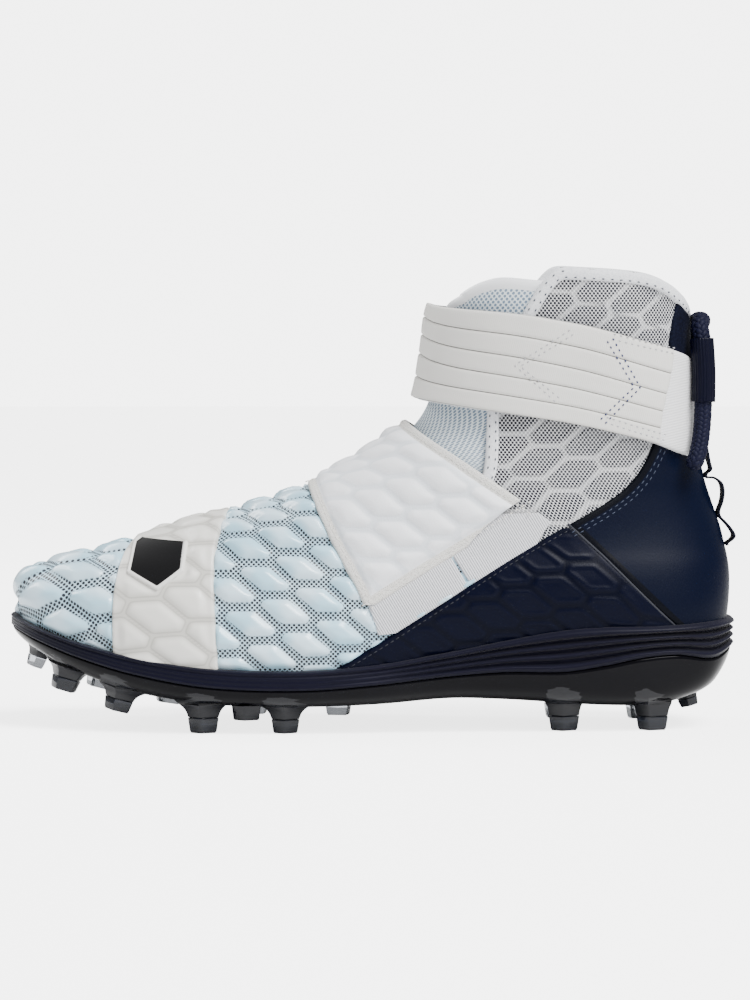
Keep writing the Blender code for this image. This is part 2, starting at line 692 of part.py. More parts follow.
def make_instep_strap():
    """Padded strap over the instep, with two elastic gores on each side between it and the panel."""
    front, rear = metres(curve_through(INSTEP_STRAP_FRONT)), metres(INSTEP_STRAP_REAR)
    overlay("instep_strap", GAP, INSTEP_STRAP, front + rear, BOTH, WHITE_SKIN)
    clear = 2 * GAP
    low, high = metres(GORE_LOW), moved([front[-1], rear[0]], dz=-clear)
    split_top = high[0].lerp(high[1], GORE_SPLIT)
    front_gore = [high[0], split_top + Vector((clear / 2, 0)), low[2], low[3]]
    rear_gore = [split_top - Vector((clear / 2, 0)), high[1], low[0], low[1]]
    for name, side in (("lateral", LATERAL), ("medial", MEDIAL)):
        overlay(f"gore_front_{name}", GAP, GORE, front_gore, side, WHITE_ELASTIC)
        overlay(f"gore_rear_{name}", GAP, GORE, rear_gore, side, WHITE_ELASTIC)


def make_forefoot_band():
    front = metres(curve_through(BAND_FRONT))
    rear = metres(curve_through(BAND_REAR))
    outline = standing_on_rim(front + rear[::-1])
    overlay("forefoot_band", GAP, BAND, outline, BOTH, CREAM_SKIN)
    overlay("band_badge", 2 * GAP + BAND, BADGE, metres(BADGE_OUTLINE), LATERAL, BLACK_GLOSS)


def make_binding():
    """Tape along the edge of the throat and the top of the shaft, on each side."""
    edge = metres(curve_through(THROAT[1:7]))
    inner = moved(edge, dx=-GAP)
    outer = moved(edge, dx=-BINDING_WIDTH * LENGTH)
    outline = inner + outer[::-1]
    for name, side in (("lateral", LATERAL), ("medial", MEDIAL)):
        overlay(f"throat_binding_{name}", GAP, BINDING, outline, side, WHITE_SKIN)


def make_ankle_strap():
    """Elastic band right round the shaft, and a ribbed layer fastened over its front."""
    top = metres(curve_through(ANKLE_STRAP_TOP))
    bottom = metres(curve_through(ANKLE_STRAP_BOTTOM))
    inner = 2 * GAP + PANEL
    overlay("ankle_strap", inner, ANKLE_STRAP, top + bottom[::-1], BOTH, WHITE_ELASTIC)
    end = metres(curve_through(RIBBED_END_REAR))
    behind = [Vector((-0.02, end[0].y)), Vector((-0.02, end[-1].y))]
    ribbed = overlay(
        "ankle_strap_ribbed_end", inner + ANKLE_STRAP + GAP, RIBBED_END, top + bottom[::-1], BOTH, CREAM_ELASTIC
    )
    boolean(ribbed, prism("ribbed_end_edge", behind + end[::-1], *BOTH, CUTTERS), "DIFFERENCE")


ROPE_COLUMN = HEEL_COLUMN - 2
ROPE_SEAT = 2 * GAP + PANEL + ROPE_RADIUS
ROPE_OVER_STRAP = ROPE_SEAT + ANKLE_STRAP + 2 * GAP + SLEEVE_WALL
# Half of the rope's route, from its lower end to the middle of the handle:
# columns towards the heel, level, share of the way out from its seat on the
# counter to its place over the ankle strap, and whether a sleeve covers it.
RopeTurn = namedtuple("RopeTurn", "columns level out sleeved")
ROPE_ROUTE = [
    RopeTurn(0.0, 7.83, 0.5, False),
    RopeTurn(0.0, 8.15, 1.0, False),
    RopeTurn(0.0, 8.80, 1.0, False),
    RopeTurn(0.0, 9.60, 1.0, False),
    RopeTurn(0.0, 10.43, 1.0, True),
    RopeTurn(0.0, 11.30, 1.0, True),
    RopeTurn(0.0, 12.10, 0.8, True),
    RopeTurn(0.2, 12.42, 0.4, False),
    RopeTurn(0.8, 12.58, 0.3, False),
    RopeTurn(2.0, 12.64, 0.2, False),
]
ROPE_STEPS = 1
SLEEVE_SIDES = 12


def rope_points():
    half = []
    for turn in ROPE_ROUTE:
        offset = ROPE_SEAT + (ROPE_OVER_STRAP - ROPE_SEAT) * turn.out
        half.append((ROPE_COLUMN + turn.columns, turn.level, offset))
    other = [(2 * HEEL_COLUMN - column, level, offset) for column, level, offset in half[-2::-1]]
    return [skin_point(*place) for place in half + other]


def smooth_route(points, steps):
    last = len(points) - 1
    route = []
    for index in range(last):
        p0, p1, p2, p3 = (points[min(max(index + k, 0), last)] for k in (-1, 0, 1, 2))
        for step in range(steps):
            t = step / steps
            route.append(
                0.5 * (2 * p1 + (p2 - p0) * t + (2 * p0 - 5 * p1 + 4 * p2 - p3) * t**2
                       + (3 * p1 - p0 - 3 * p2 + p3) * t**3)
            )
    return route + [points[-1]]


def make_rope():
    """Cord handle: an upturned U over the heel, both legs outside the ankle strap."""
    route = smooth_route(rope_points(), ROPE_STEPS)
    curve = bpy.data.curves.new("pull_rope", "CURVE")
    curve.dimensions = "3D"
    curve.bevel_depth = ROPE_RADIUS
    curve.bevel_resolution = 2
    curve.use_fill_caps = True
    spline = curve.splines.new("POLY")
    spline.points.add(len(route) - 1)
    for target, point in zip(spline.points, route):
        target.co = (*point, 1)
    rope = bpy.data.objects.new("pull_rope", curve)
    PIECES.objects.link(rope)
    as_piece(rope, NAVY_ROPE)


def make_sleeve(name, route):
    """Moulded tube on one leg of the rope."""
    sleeved = [index for index, turn in enumerate(ROPE_ROUTE) if turn.sleeved]
    path = route[sleeved[0] * ROPE_STEPS : sleeved[-1] * ROPE_STEPS + 1]
    inner, outer = ROPE_RADIUS + GAP, ROPE_RADIUS + GAP + SLEEVE_WALL
    rings = {inner: [], outer: []}
    for index, point in enumerate(path):
        along = (path[min(index + 1, len(path) - 1)] - path[max(index - 1, 0)]).normalized()
        side = along.cross(Vector((1, 0, 0))).normalized()
        other = along.cross(side)
        angles = [2 * math.pi * step / SLEEVE_SIDES for step in range(SLEEVE_SIDES)]
        for radius, made in rings.items():
            made.append([point + (side * math.cos(a) + other * math.sin(a)) * radius for a in angles])
    sleeve = loft(name, rings[outer] + rings[inner][::-1], PIECES, closed_loop=True)
    as_piece(sleeve, NAVY_ROPE)


# The webbing down the back of the heel: level, and distance of its inner face
# from its seat on the counter. It lies over the ankle strap, then stands off in
# two finger loops.
WebbingTurn = namedtuple("WebbingTurn", "level out")
STRAP_CLEAR = ANKLE_STRAP + GAP
WEBBING_ROUTE = [
    WebbingTurn(12.00, 0.0),
    WebbingTurn(11.80, STRAP_CLEAR),
    WebbingTurn(11.00, STRAP_CLEAR),
    WebbingTurn(10.00, STRAP_CLEAR),
    WebbingTurn(9.00, STRAP_CLEAR),
    WebbingTurn(8.00, STRAP_CLEAR),
    WebbingTurn(7.55, STRAP_CLEAR),
    WebbingTurn(7.38, 0.0),
    WebbingTurn(7.22, 0.0),
    WebbingTurn(7.10, 0.0030),
    WebbingTurn(6.80, 0.0050),
    WebbingTurn(6.40, 0.0048),
    WebbingTurn(6.00, 0.0030),
    WebbingTurn(5.70, 0.0008),
    WebbingTurn(5.55, 0.0),
    WebbingTurn(5.35, 0.0),
    WebbingTurn(5.10, 0.0012),
    WebbingTurn(4.70, 0.0028),
    WebbingTurn(4.30, 0.0036),
    WebbingTurn(4.08, 0.0022),
    WebbingTurn(3.95, 0.0),
    WebbingTurn(3.85, 0.0),
]


def make_webbing():
    inner, outer = [], []
    for turn in WEBBING_ROUTE:
        seat = 2 * GAP + PANEL + turn.out
        near = skin_point(HEEL_COLUMN, turn.level, seat)
        far = skin_point(HEEL_COLUMN, turn.level, seat + WEBBING_THICK)
        inner.append(Vector((near.x, near.z)))
        outer.append(Vector((far.x, far.z)))
    centre = last_centre(0)
    half = WEBBING_WIDTH / 2
    webbing = prism("heel_webbing", inner + outer[::-1], centre - half, centre + half, PIECES)
    as_piece(webbing, NAVY_WEBBING)


def stand_on_frame():
    """Moves the frame so that its origin is under the middle of all the pieces."""
    bpy.context.view_layer.update()
    graph = bpy.context.evaluated_depsgraph_get()
    corners = []
    for obj in PIECES.objects:
        if obj.type == "EMPTY":
            continue
        done = obj.evaluated_get(graph)
        corners += [done.matrix_world @ vertex.co for vertex in done.to_mesh().vertices]
        done.to_mesh_clear()
    xs, ys, zs = zip(*corners)
    FRAME.location = (-(min(xs) + max(xs)) / 2, -(min(ys) + max(ys)) / 2, -min(zs))
    bpy.context.view_layer.update()


make_upper()
make_tongue()
make_insole()
make_midsole()
make_plate()
make_stud_tips()
make_panels()
make_instep_strap()
make_forefoot_band()
make_binding()
make_ankle_strap()
make_rope()
make_sleeve("rope_sleeve_lateral", smooth_route(rope_points(), ROPE_STEPS))
make_sleeve("rope_sleeve_medial", smooth_route(rope_points()[::-1], ROPE_STEPS))
make_webbing()
stand_on_frame()
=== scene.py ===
import math

import bmesh
import bpy
import numpy as np
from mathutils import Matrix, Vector
from mathutils.bvhtree import BVHTree


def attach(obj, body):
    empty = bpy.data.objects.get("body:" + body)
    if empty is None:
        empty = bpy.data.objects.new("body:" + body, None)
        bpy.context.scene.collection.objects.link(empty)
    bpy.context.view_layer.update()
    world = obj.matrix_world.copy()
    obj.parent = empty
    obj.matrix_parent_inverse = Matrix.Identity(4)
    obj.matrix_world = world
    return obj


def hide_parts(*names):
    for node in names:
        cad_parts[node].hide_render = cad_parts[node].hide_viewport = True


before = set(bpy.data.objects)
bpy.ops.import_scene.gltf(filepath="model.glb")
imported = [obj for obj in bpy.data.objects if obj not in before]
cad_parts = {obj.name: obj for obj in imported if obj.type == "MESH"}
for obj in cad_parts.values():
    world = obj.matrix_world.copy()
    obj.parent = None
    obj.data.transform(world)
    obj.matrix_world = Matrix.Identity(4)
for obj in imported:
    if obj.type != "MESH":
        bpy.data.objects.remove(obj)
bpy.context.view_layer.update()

# Outsole plate.
# One glossy moulding under the whole foot: a shallow cup that rises round the
# heel, with the roots of the studs moulded on. It is cemented to the midsole.
LENGTH = 0.300
BALL_WIDTH = 0.102
HEEL_BACK = Vector((-0.149725, 0.002689, 0.0))
STUD_HEIGHT = 0.0105
FOREFOOT_STACK = 0.0155
HEEL_STACK = 0.033
TOE_SPRING = 0.020
RIM_HEIGHT = 0.003
FEATHER_INSET = 0.0008
LAST_SWING = 0.009

# at, heelward, spring, split, depth
SOLE_STATIONS = np.array([
    (0.00, 1.00, 0.10, 0.36, 0.58), (0.03, 1.00, 0.07, 0.46, 0.84), (0.08, 1.00, 0.02, 0.37, 0.96),
    (0.13, 1.00, 0.00, 0.39, 1.00), (0.18, 0.99, 0.00, 0.48, 1.00), (0.24, 0.91, 0.00, 0.54, 0.97),
    (0.32, 0.67, 0.00, 0.47, 0.91), (0.40, 0.40, 0.00, 0.44, 0.87), (0.50, 0.12, 0.00, 0.47, 0.96),
    (0.60, 0.00, 0.00, 0.52, 1.00), (0.72, 0.00, 0.05, 0.51, 1.00), (0.82, 0.00, 0.25, 0.46, 0.98),
    (0.90, 0.00, 0.52, 0.40, 0.86), (0.96, 0.00, 0.79, 0.35, 0.71), (1.00, 0.00, 1.00, 0.32, 0.60),
])
# level, heel_x, back, front_x, vamp, shaft, half_width, widest, front_power, heel_power, waist, sag, crest
LEVELS = np.array([
    (0, 0.013, 0.000, 0.990, 0.000, 0.00, 0.492, 0.665, 2.40, 3.2, 0.090, 1.00, 0.00),
    (1, 0.010, 0.063, 0.994, 0.138, 0.00, 0.495, 0.655, 2.35, 3.1, 0.064, 0.80, 0.00),
    (2, 0.009, 0.126, 0.981, 0.246, 0.00, 0.480, 0.643, 2.25, 3.0, 0.039, 0.55, 0.00),
    (3, 0.011, 0.179, 0.945, 0.323, 0.00, 0.452, 0.627, 2.15, 3.0, 0.025, 0.35, 0.00),
    (4, 0.016, 0.234, 0.872, 0.398, 0.00, 0.422, 0.603, 2.05, 2.9, 0.015, 0.20, 0.00),
    (5, 0.022, 0.291, 0.791, 0.492, 0.00, 0.398, 0.567, 2.00, 2.8, 0.005, 0.12, 0.00),
    (6, 0.032, 0.358, 0.707, 0.582, 0.00, 0.380, 0.510, 2.00, 2.7, 0.000, 0.05, 0.00),
    (7, 0.042, 0.428, 0.620, 0.678, 0.00, 0.365, 0.440, 2.00, 2.6, 0.000, 0.00, 0.00),
    (8, 0.049, 0.498, 0.535, 0.825, 0.00, 0.356, 0.360, 2.00, 2.5, 0.000, 0.00, 0.00),
    (9, 0.054, 0.568, 0.473, 1.000, 0.00, 0.352, 0.300, 2.05, 2.4, 0.000, 0.00, 0.00),
    (10, 0.057, 0.653, 0.432, 1.000, 0.24, 0.348, 0.263, 2.10, 2.3, 0.000, 0.00, 0.00),
    (11, 0.059, 0.755, 0.417, 1.000, 0.58, 0.343, 0.247, 2.10, 2.3, 0.000, 0.00, 0.00),
    (12, 0.062, 0.870, 0.410, 1.000, 0.85, 0.345, 0.237, 2.10, 2.3, 0.000, 0.00, 0.35),
    (13, 0.066, 1.000, 0.399, 1.000, 1.00, 0.352, 0.230, 2.10, 2.3, 0.000, 0.00, 1.00),
])
INSTEP_RISE = 0.073
SHAFT_RISE = 0.060
BACK_HEIGHT = 0.1285
COLLAR_CREST = 0.014
WIDEST_COLUMN = 8
HEEL_COLUMN = 18


def through_rows(rows, at, column):
    """A column of a table at any places, on a smooth curve through its rows."""
    places, values = rows[:, 0], rows[:, column]
    slopes = np.gradient(values, places)
    slopes[1:-1] = (values[2:] - values[:-2]) / (places[2:] - places[:-2])
    at = np.clip(np.asarray(at, float), places[0], places[-1])
    low = np.clip(np.searchsorted(places, at) - 1, 0, len(places) - 2)
    width = places[low + 1] - places[low]
    t = (at - places[low]) / width
    return ((2 * t**3 - 3 * t**2 + 1) * values[low] + (t**3 - 2 * t**2 + t) * slopes[low] * width
            + (3 * t**2 - 2 * t**3) * values[low + 1] + (t**3 - t**2) * slopes[low + 1] * width)


def sole_share(x, name):
    return through_rows(SOLE_STATIONS, np.asarray(x) / LENGTH,
                        ("heelward", "spring", "split", "depth").index(name) + 1)


def stack_height(x):
    return FOREFOOT_STACK + (HEEL_STACK - FOREFOOT_STACK) * sole_share(x, "heelward")


def rim_height(x):
    return STUD_HEIGHT + stack_height(x) + TOE_SPRING * sole_share(x, "spring")


def split_height(x):
    return rim_height(x) - stack_height(x) * sole_share(x, "split")


def plate_bottom(x):
    return rim_height(x) - stack_height(x) * sole_share(x, "depth")


def last_centre(x):
    return -LAST_SWING * np.maximum(0.0, (np.asarray(x) / LENGTH - 0.3) / 0.7) ** 2


def level_points(level, columns):
    """One level of the last at these columns: 0 is the toe, 18 the heel, less than 0 the medial side."""
    heel_x, back, front_x, vamp, shaft, half, widest, front_power, heel_power, waist, sag, crest = (
        float(through_rows(LEVELS, level, column)) for column in range(1, 13)
    )
    angles = np.linspace(0, math.pi / 2, 161)
    ahead, behind = np.cos(angles) ** (2 / front_power), np.sin(angles) ** (2 / heel_power)
    paths = []
    for along, power, reach in ((ahead, front_power, front_x - widest),
                                (behind, heel_power, heel_x - widest)):
        y = half * BALL_WIDTH * np.maximum(0.0, 1 - along**power) ** (1 / power)
        if reach < 0:
            y = y - waist * BALL_WIDTH * np.sin(math.pi * along) ** 2
        x = (widest + reach * along) * LENGTH
        run = np.concatenate([[0], np.cumsum(np.hypot(np.diff(x), np.diff(y)))])
        paths.append((run / run[-1], x, y))
    columns = np.asarray(columns, float)
    around = (columns + HEEL_COLUMN) % (2 * HEEL_COLUMN) - HEEL_COLUMN
    side, share = np.where(around < 0, -1.0, 1.0), np.abs(around)
    front, rear = share / WIDEST_COLUMN, (share - WIDEST_COLUMN) / (HEEL_COLUMN - WIDEST_COLUMN)
    ahead_of = share <= WIDEST_COLUMN
    x = np.where(ahead_of, np.interp(front, paths[0][0], paths[0][1]),
                 np.interp(rear, paths[1][0], paths[1][1]))
    y = np.where(ahead_of, np.interp(front, paths[0][0], paths[0][2]),
                 np.interp(rear, paths[1][0], paths[1][2]))
    heel_rim, toe_rim = float(rim_height(0)), float(rim_height(LENGTH))
    heel_z = heel_rim + back * BACK_HEIGHT
    front_z = toe_rim + vamp * INSTEP_RISE + shaft * SHAFT_RISE
    q = np.clip((x / LENGTH - heel_x) / (front_x - heel_x), 0, 1)
    z = heel_z + (front_z - heel_z) * q + sag * (rim_height(x) - heel_rim - (toe_rim - heel_rim) * q)
    z = z + crest * COLLAR_CREST * (1 - np.abs(2 * q - 1) ** 6)
    return np.stack([x, last_centre(x) + side * y, z], axis=-1)


def plan_row(outset, height, rib=0.0, count=288):
    """The foot's plan outline on the sole's rim, moved out, at a height that depends on x."""
    columns = np.arange(count) * 2 * HEEL_COLUMN / count
    row = level_points(0, columns)
    along = np.roll(row, -1, axis=0) - np.roll(row, 1, axis=0)
    out = np.stack([along[:, 1], -along[:, 0]], axis=-1)
    out /= np.linalg.norm(out, axis=1, keepdims=True)
    heelward = np.clip(sole_share(row[:, 0], "heelward"), 0, 1)
    flat = row[:, :2] + out * (outset - FEATHER_INSET + rib * heelward)[:, None]
    return np.column_stack([flat, height(flat[:, 0])])


def mesh_piece(name, points, faces, smooth=True):
    """A new piece from points that are measured from the back of the heel."""
    mesh = bpy.data.meshes.new(name)
    mesh.from_pydata([tuple(Vector(p) + HEEL_BACK) for p in points], [], faces)
    mesh.polygons.foreach_set("use_smooth", [smooth] * len(mesh.polygons))
    piece = bpy.data.objects.new(name, mesh)
    bpy.context.scene.collection.objects.link(piece)
    return piece


def lofted(name, rows, closed=True, caps=(False, False)):
    """A skin through rows of points; the end rows can be closed by strips from side to side."""
    count = len(rows[0])
    points = [tuple(p) for row in rows for p in row]
    faces = []
    for r in range(len(rows) - 1):
        for c in range(count if closed else count - 1):
            a, b = r * count + c, r * count + (c + 1) % count
            faces.append((a, b, b + count, a + count))
    for wanted, base, turn in ((caps[0], 0, True), (caps[1], (len(rows) - 1) * count, False)):
        if wanted:
            half = count // 2
            strips = [(base, base + 1, base + count - 1)]
            strips += [(base + s, base + s + 1, base + count - s - 1, base + count - s)
                       for s in range(1, half - 1)]
            strips += [(base + half - 1, base + half, base + half + 1)]
            faces += [face[::-1] if turn else face for face in strips]
    return mesh_piece(name, points, faces)


def facing_out(piece):
    bm = bmesh.new()
    bm.from_mesh(piece.data)
    bmesh.ops.recalc_face_normals(bm, faces=bm.faces)
    bm.to_mesh(piece.data)
    bm.free()
    return piece


PLATE_SIDE = np.array([(0.00, -0.0090), (0.10, -0.0030), (0.28, 0.0004), (0.50, 0.0024), (0.80, 0.0037),
                       (1.00, 0.0040)])
rows = []
for up in (0, 0.03, 0.06, 0.10, 0.16, 0.24, 0.34, 0.46, 0.60, 0.76, 0.90, 0.97):
    height = lambda x, up=up: plate_bottom(x) + (split_height(x) - plate_bottom(x)) * up
    rows.append(plan_row(float(through_rows(PLATE_SIDE, up, 1)), height))
rows.append(plan_row(0.0036, split_height))
rows.append(plan_row(0.0010, split_height))
plate = facing_out(lofted("outsole_plate_moulding", rows, caps=(True, True)))

# name, station, side, size, tip, lean, turn
STUDS = [
    ("toe", 0.962, -0.10, 0.0090, 2.20, 19, 90), ("lateral_1", 0.918, 0.66, 0.0105, 1.50, 17, -24),
    ("lateral_2", 0.842, 0.80, 0.0105, 0.80, 15, -8), ("lateral_3", 0.730, 0.84, 0.0110, 0.00, 0, 0),
    ("lateral_4", 0.618, 0.83, 0.0100, 0.00, 0, 6), ("medial_1", 0.880, -0.74, 0.0105, 1.15, 16, 20),
    ("medial_2", 0.785, -0.83, 0.0105, 0.45, 9, 6), ("medial_3", 0.668, -0.84, 0.0110, 0.00, 0, 0),
    ("medial_4", 0.548, -0.80, 0.0100, 0.00, 0, -8),
    ("heel_lateral_front", 0.236, 0.72, 0.0110, 0.00, 0, 4),
    ("heel_lateral_rear", 0.114, 0.70, 0.0115, 0.00, 0, -6),
    ("heel_medial_front", 0.236, -0.72, 0.0110, 0.00, 0, -4),
    ("heel_medial_rear", 0.120, -0.70, 0.0115, 0.00, 0, 6),
    ("heel_back", 0.062, -0.08, 0.0090, 0.72, -17, 90),
]
LOW_LUG = ("low_lug", 0.671, 0.86, 0.0105, 0.52, 0, 0)
# A root's reach up the plate's side, as shares of the drop to its tip and of the plate's depth;
# then its crest's height there, how deep its edges are sunk, and its least distance below the rim.
FLARE_TOP = 0.80
FLARE_ROOM = 0.88
FLARE_CREST = 0.0042
FLARE_SUNK = 0.0004
FLARE_BELOW_RIM = 0.0016
plate_skin = BVHTree.FromPolygons([corner.co for corner in plate.data.vertices],
                                  [tuple(face.vertices) for face in plate.data.polygons])


def stud_ring(stud, spread, share):
    """A section of a stud, share of the way from the plate's bottom to its tip; above, on its side."""
    name, station, side, size, tip, lean, turn = stud
    x = station * LENGTH
    rim = level_points(0, np.linspace(0, HEEL_COLUMN, 400))
    half = np.interp(-x, -rim[:, 0], rim[:, 1]) - float(last_centre(x))
    root = Vector((x, float(last_centre(x)) + half * side, float(plate_bottom(x))))
    lean, turn = math.radians(lean), math.radians(turn)
    down = Vector((math.sin(lean), 0, -math.cos(lean)))
    drop = (root.z - tip * STUD_HEIGHT) / math.cos(lean)
    across = Vector((0, 1, 0))
    ahead = down.cross(across).normalized()
    outside = 1 if side >= 0 else -1
    on_side = share < 0 and abs(side) > 0.5
    crest = FLARE_CREST * (1 - min(1.0, -share / FLARE_TOP)) ** 1.3
    if share < 0:
        room = FLARE_ROOM * float(split_height(x) - plate_bottom(x))
        share *= min(1.0, room / (FLARE_TOP * drop))
    section = [(0.50, 0.10), (0.08, 0.60), (-0.50, 0.16), (-0.42, -0.50), (0.42, -0.50)]
    ring = []
    for corner, (u, v) in enumerate(section):
        u, v = u * size * spread, v * size * 0.72 * spread * outside
        forward = u * math.cos(turn) - v * math.sin(turn)
        sideways = u * math.sin(turn) + v * math.cos(turn)
        point = root + ahead * forward + across * sideways + down * drop * share
        point.z = min(point.z, float(split_height(point.x)) - FLARE_BELOW_RIM)
        beside = Vector((point.x + HEEL_BACK.x, 0.09 * outside, point.z))
        met = plate_skin.ray_cast(beside, Vector((0, -outside, 0)))[0]
        if on_side and corner < 3 and met:
            point.y = met.y - HEEL_BACK.y + outside * ((crest if corner == 1 else 0.0) - FLARE_SUNK)
        ring.append(tuple(point))
    return ring


def stud_piece(name, stud_rows, ease):
    """Several studs as one mesh, each a column of sections from top to bottom, its edges eased."""
    points, faces = [], []
    for rings in stud_rows:
        base, count = len(points), len(rings[0])
        points += [point for ring in rings for point in ring]
        for r in range(len(rings) - 1):
            for c in range(count):
                a, b = base + r * count + c, base + r * count + (c + 1) % count
                faces.append((a, b, b + count, a + count))
        faces.append(tuple(range(base + count - 1, base - 1, -1)))
        faces.append(tuple(range(base + (len(rings) - 1) * count, base + len(rings) * count)))
    piece = facing_out(mesh_piece(name, points, faces, smooth=False))
    eased = piece.modifiers.new("eased edges", "BEVEL")
    eased.width, eased.segments, eased.limit_method, eased.angle_limit = ease, 3, "ANGLE", math.radians(28)
    piece.data.polygons.foreach_set("use_smooth", [True] * len(piece.data.polygons))
    return piece


FRONT_FLARE = [(-FLARE_TOP, 2.85), (-0.50, 2.55), (-0.25, 2.22), (-0.10, 1.98), (0.0, 1.80), (0.07, 1.60),
               (0.15, 1.44),
               (0.24, 1.31), (0.34, 1.22), (0.452, 1.14)]
HEEL_FLARE = [(-FLARE_TOP, 2.05), (-0.62, 1.90), (-0.45, 1.76), (-0.30, 1.63), (-0.15, 1.51), (0.0, 1.40),
              (0.12, 1.29),
              (0.28, 1.20), (0.452, 1.14)]
END_FLARE = [(-FLARE_TOP, 1.60), (0.0, 1.55), (0.08, 1.42), (0.18, 1.29), (0.30, 1.20), (0.452, 1.14)]
TIP_TAPER = [(0.468, 1.13), (0.49, 1.145), (0.72, 1.07), (0.93, 1.0), (1.0, 0.90)]
root_rings = []
for stud in STUDS:
    flare = END_FLARE if abs(stud[2]) < 0.5 else HEEL_FLARE if stud[1] < 0.4 else FRONT_FLARE
    root_rings.append([stud_ring(stud, spread, share) for share, spread in flare])
root_rings.append([stud_ring(LOW_LUG, spread, share) for share,
                   spread in ((-0.2, 1.15), (0.9, 1.02), (1.0, 0.92))])
stud_roots = stud_piece("stud_roots", root_rings, 0.0013)
CLEAR_STUDS = [stud for stud in STUDS if stud[0] == "toe" or "medial" in stud[0]]
SMOKE_STUDS = [stud for stud in STUDS if stud not in CLEAR_STUDS]


def finish_named(name, **values):
    """A new material with its shader, the values set on its sockets, ready for its own nodes."""
    material = bpy.data.materials.new(name)
    material.use_nodes = True
    shader = material.node_tree.nodes["Principled BSDF"]
    for socket, value in values.items():
        shader.inputs[socket.replace("_", " ")].default_value = value
    return material, material.node_tree, shader


def node(tree, kind, **settings):
    """A node with its sockets or settings given by name; a socket takes a value or another node's output."""
    made = tree.nodes.new(kind)
    for name, value in settings.items():
        if hasattr(made, name):
            setattr(made, name, value)
    for name, value in settings.items():
        if hasattr(made, name):
            continue
        numbered = name[0] == "i" and name[1:].isdigit()
        socket = made.inputs[int(name[1:]) if numbered else name.replace("_", " ")]
        if isinstance(value, bpy.types.NodeSocket):
            tree.links.new(value, socket)
        else:
            socket.default_value = value
    return made


def dress(piece, material, slot, *nodes):
    """Puts a finished piece on the shoe: its finish and the plain solids it stands for; its slot is not used.
    """
    piece.data.materials.clear()
    piece.data.materials.append(material)
    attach(piece, "root")
    if nodes:
        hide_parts(*nodes)
    return piece


def mixed(tree, share, low, high):
    return node(tree, "ShaderNodeMixRGB", Fac=share, Color1=low, Color2=high).outputs[0]


def grain_group():
    """A soft cloudy tint and a fine grain, for smooth fused skins and moulded pieces."""
    group = bpy.data.node_groups.new("skin_grain", "ShaderNodeTree")
    group.interface.new_socket("Vector", in_out="INPUT", socket_type="NodeSocketVector")
    for label, value in (("Cloud Scale", 40.0), ("Cloud Detail", 2.0), ("Grain Scale", 1800.0),
                         ("Grain Detail", 1.0)):
        group.interface.new_socket(label, in_out="INPUT",
                                   socket_type="NodeSocketFloat").default_value = value
    start, ends = group.nodes.new("NodeGroupInput"), group.nodes.new("NodeGroupOutput")
    for label in ("Cloud", "Grain"):
        group.interface.new_socket(label, in_out="OUTPUT", socket_type="NodeSocketFloat")
        noise = node(group, "ShaderNodeTexNoise", Vector=start.outputs["Vector"],
                     Scale=start.outputs[f"{label} Scale"], Detail=start.outputs[f"{label} Detail"])
        group.links.new(noise.outputs["Fac"], ends.inputs[label])
    return group


GRAIN = grain_group()
plate_finish, tree, shader = finish_named("black_plate_finish", Roughness=0.12, Specular_IOR_Level=0.10)
place = node(tree, "ShaderNodeTexCoord").outputs["Object"]
cloud = node(tree, "ShaderNodeGroup", node_tree=GRAIN, Vector=place, Cloud_Scale=38.0,
             Cloud_Detail=3.0).outputs["Cloud"]
tree.links.new(mixed(tree, cloud, (0.0008, 0.0008, 0.0014, 1), (0.0030, 0.0030, 0.0045, 1)),
               shader.inputs["Base Color"])
dress(plate, plate_finish, "black_plate", "outsole_plate")
root_finish, tree, shader = finish_named("stud_root_finish", Base_Color=(0.005, 0.0055, 0.008, 1),
                                         Roughness=0.13, Transmission_Weight=0.08, Specular_IOR_Level=0.30)
dress(stud_roots, root_finish, "black_plate")

for name, studs, colour, seen_through in (
    ("smoke", SMOKE_STUDS, (0.020, 0.023, 0.032, 1), 0.60),
    ("clear", CLEAR_STUDS, (0.70, 0.73, 0.78, 1), 0.95),
):
    tips = stud_piece(f"{name}_stud_tips",
                      [[stud_ring(stud, spread, share) for share, spread in TIP_TAPER] for stud in studs],
                      0.0006)
    tip_finish, tree, shader = finish_named(f"{name}_tip_finish", Base_Color=colour, Roughness=0.08,
                                            Transmission_Weight=seen_through, IOR=1.40,
                                            Specular_IOR_Level=0.35)
    dress(tips, tip_finish, "smoke_tip", *[f"stud_tip_{stud[0]}" for stud in studs])

# Midsole.
# Soft foam moulded with long grooves round the heel, a low lip round the foot,
# and a plain side at the forefoot; cemented to the plate and to the upper.
MIDSOLE_SIDE = np.array([
    (0.00, 0.0038, 0.0000), (0.12, 0.0047, 0.0006), (0.25, 0.0046, -0.0024), (0.38, 0.0047, 0.0006),
    (0.50, 0.0046, -0.0024),
    (0.62, 0.0047, 0.0006), (0.75, 0.0043, -0.0022), (0.84, 0.0048, 0.0006), (0.94, 0.0047, 0.0004),
    (1.00, 0.0036, 0.0),
])
GAP = 0.0003
rows = [plan_row(0.0006, lambda x: split_height(x) + GAP)]
for up in np.linspace(0, 1, 49):
    side = lambda x, up=up: split_height(x) + GAP + (rim_height(x) - split_height(x) - GAP) * up
    rows.append(plan_row(float(through_rows(MIDSOLE_SIDE, up, 1)), side,
                         float(through_rows(MIDSOLE_SIDE, up, 2))))
rows.append(plan_row(0.0022, lambda x: rim_height(x) + 0.0003))
rows.append(plan_row(-0.0006, lambda x: rim_height(x) + 0.0001))
midsole = facing_out(lofted("midsole_foam", rows, caps=(True, True)))


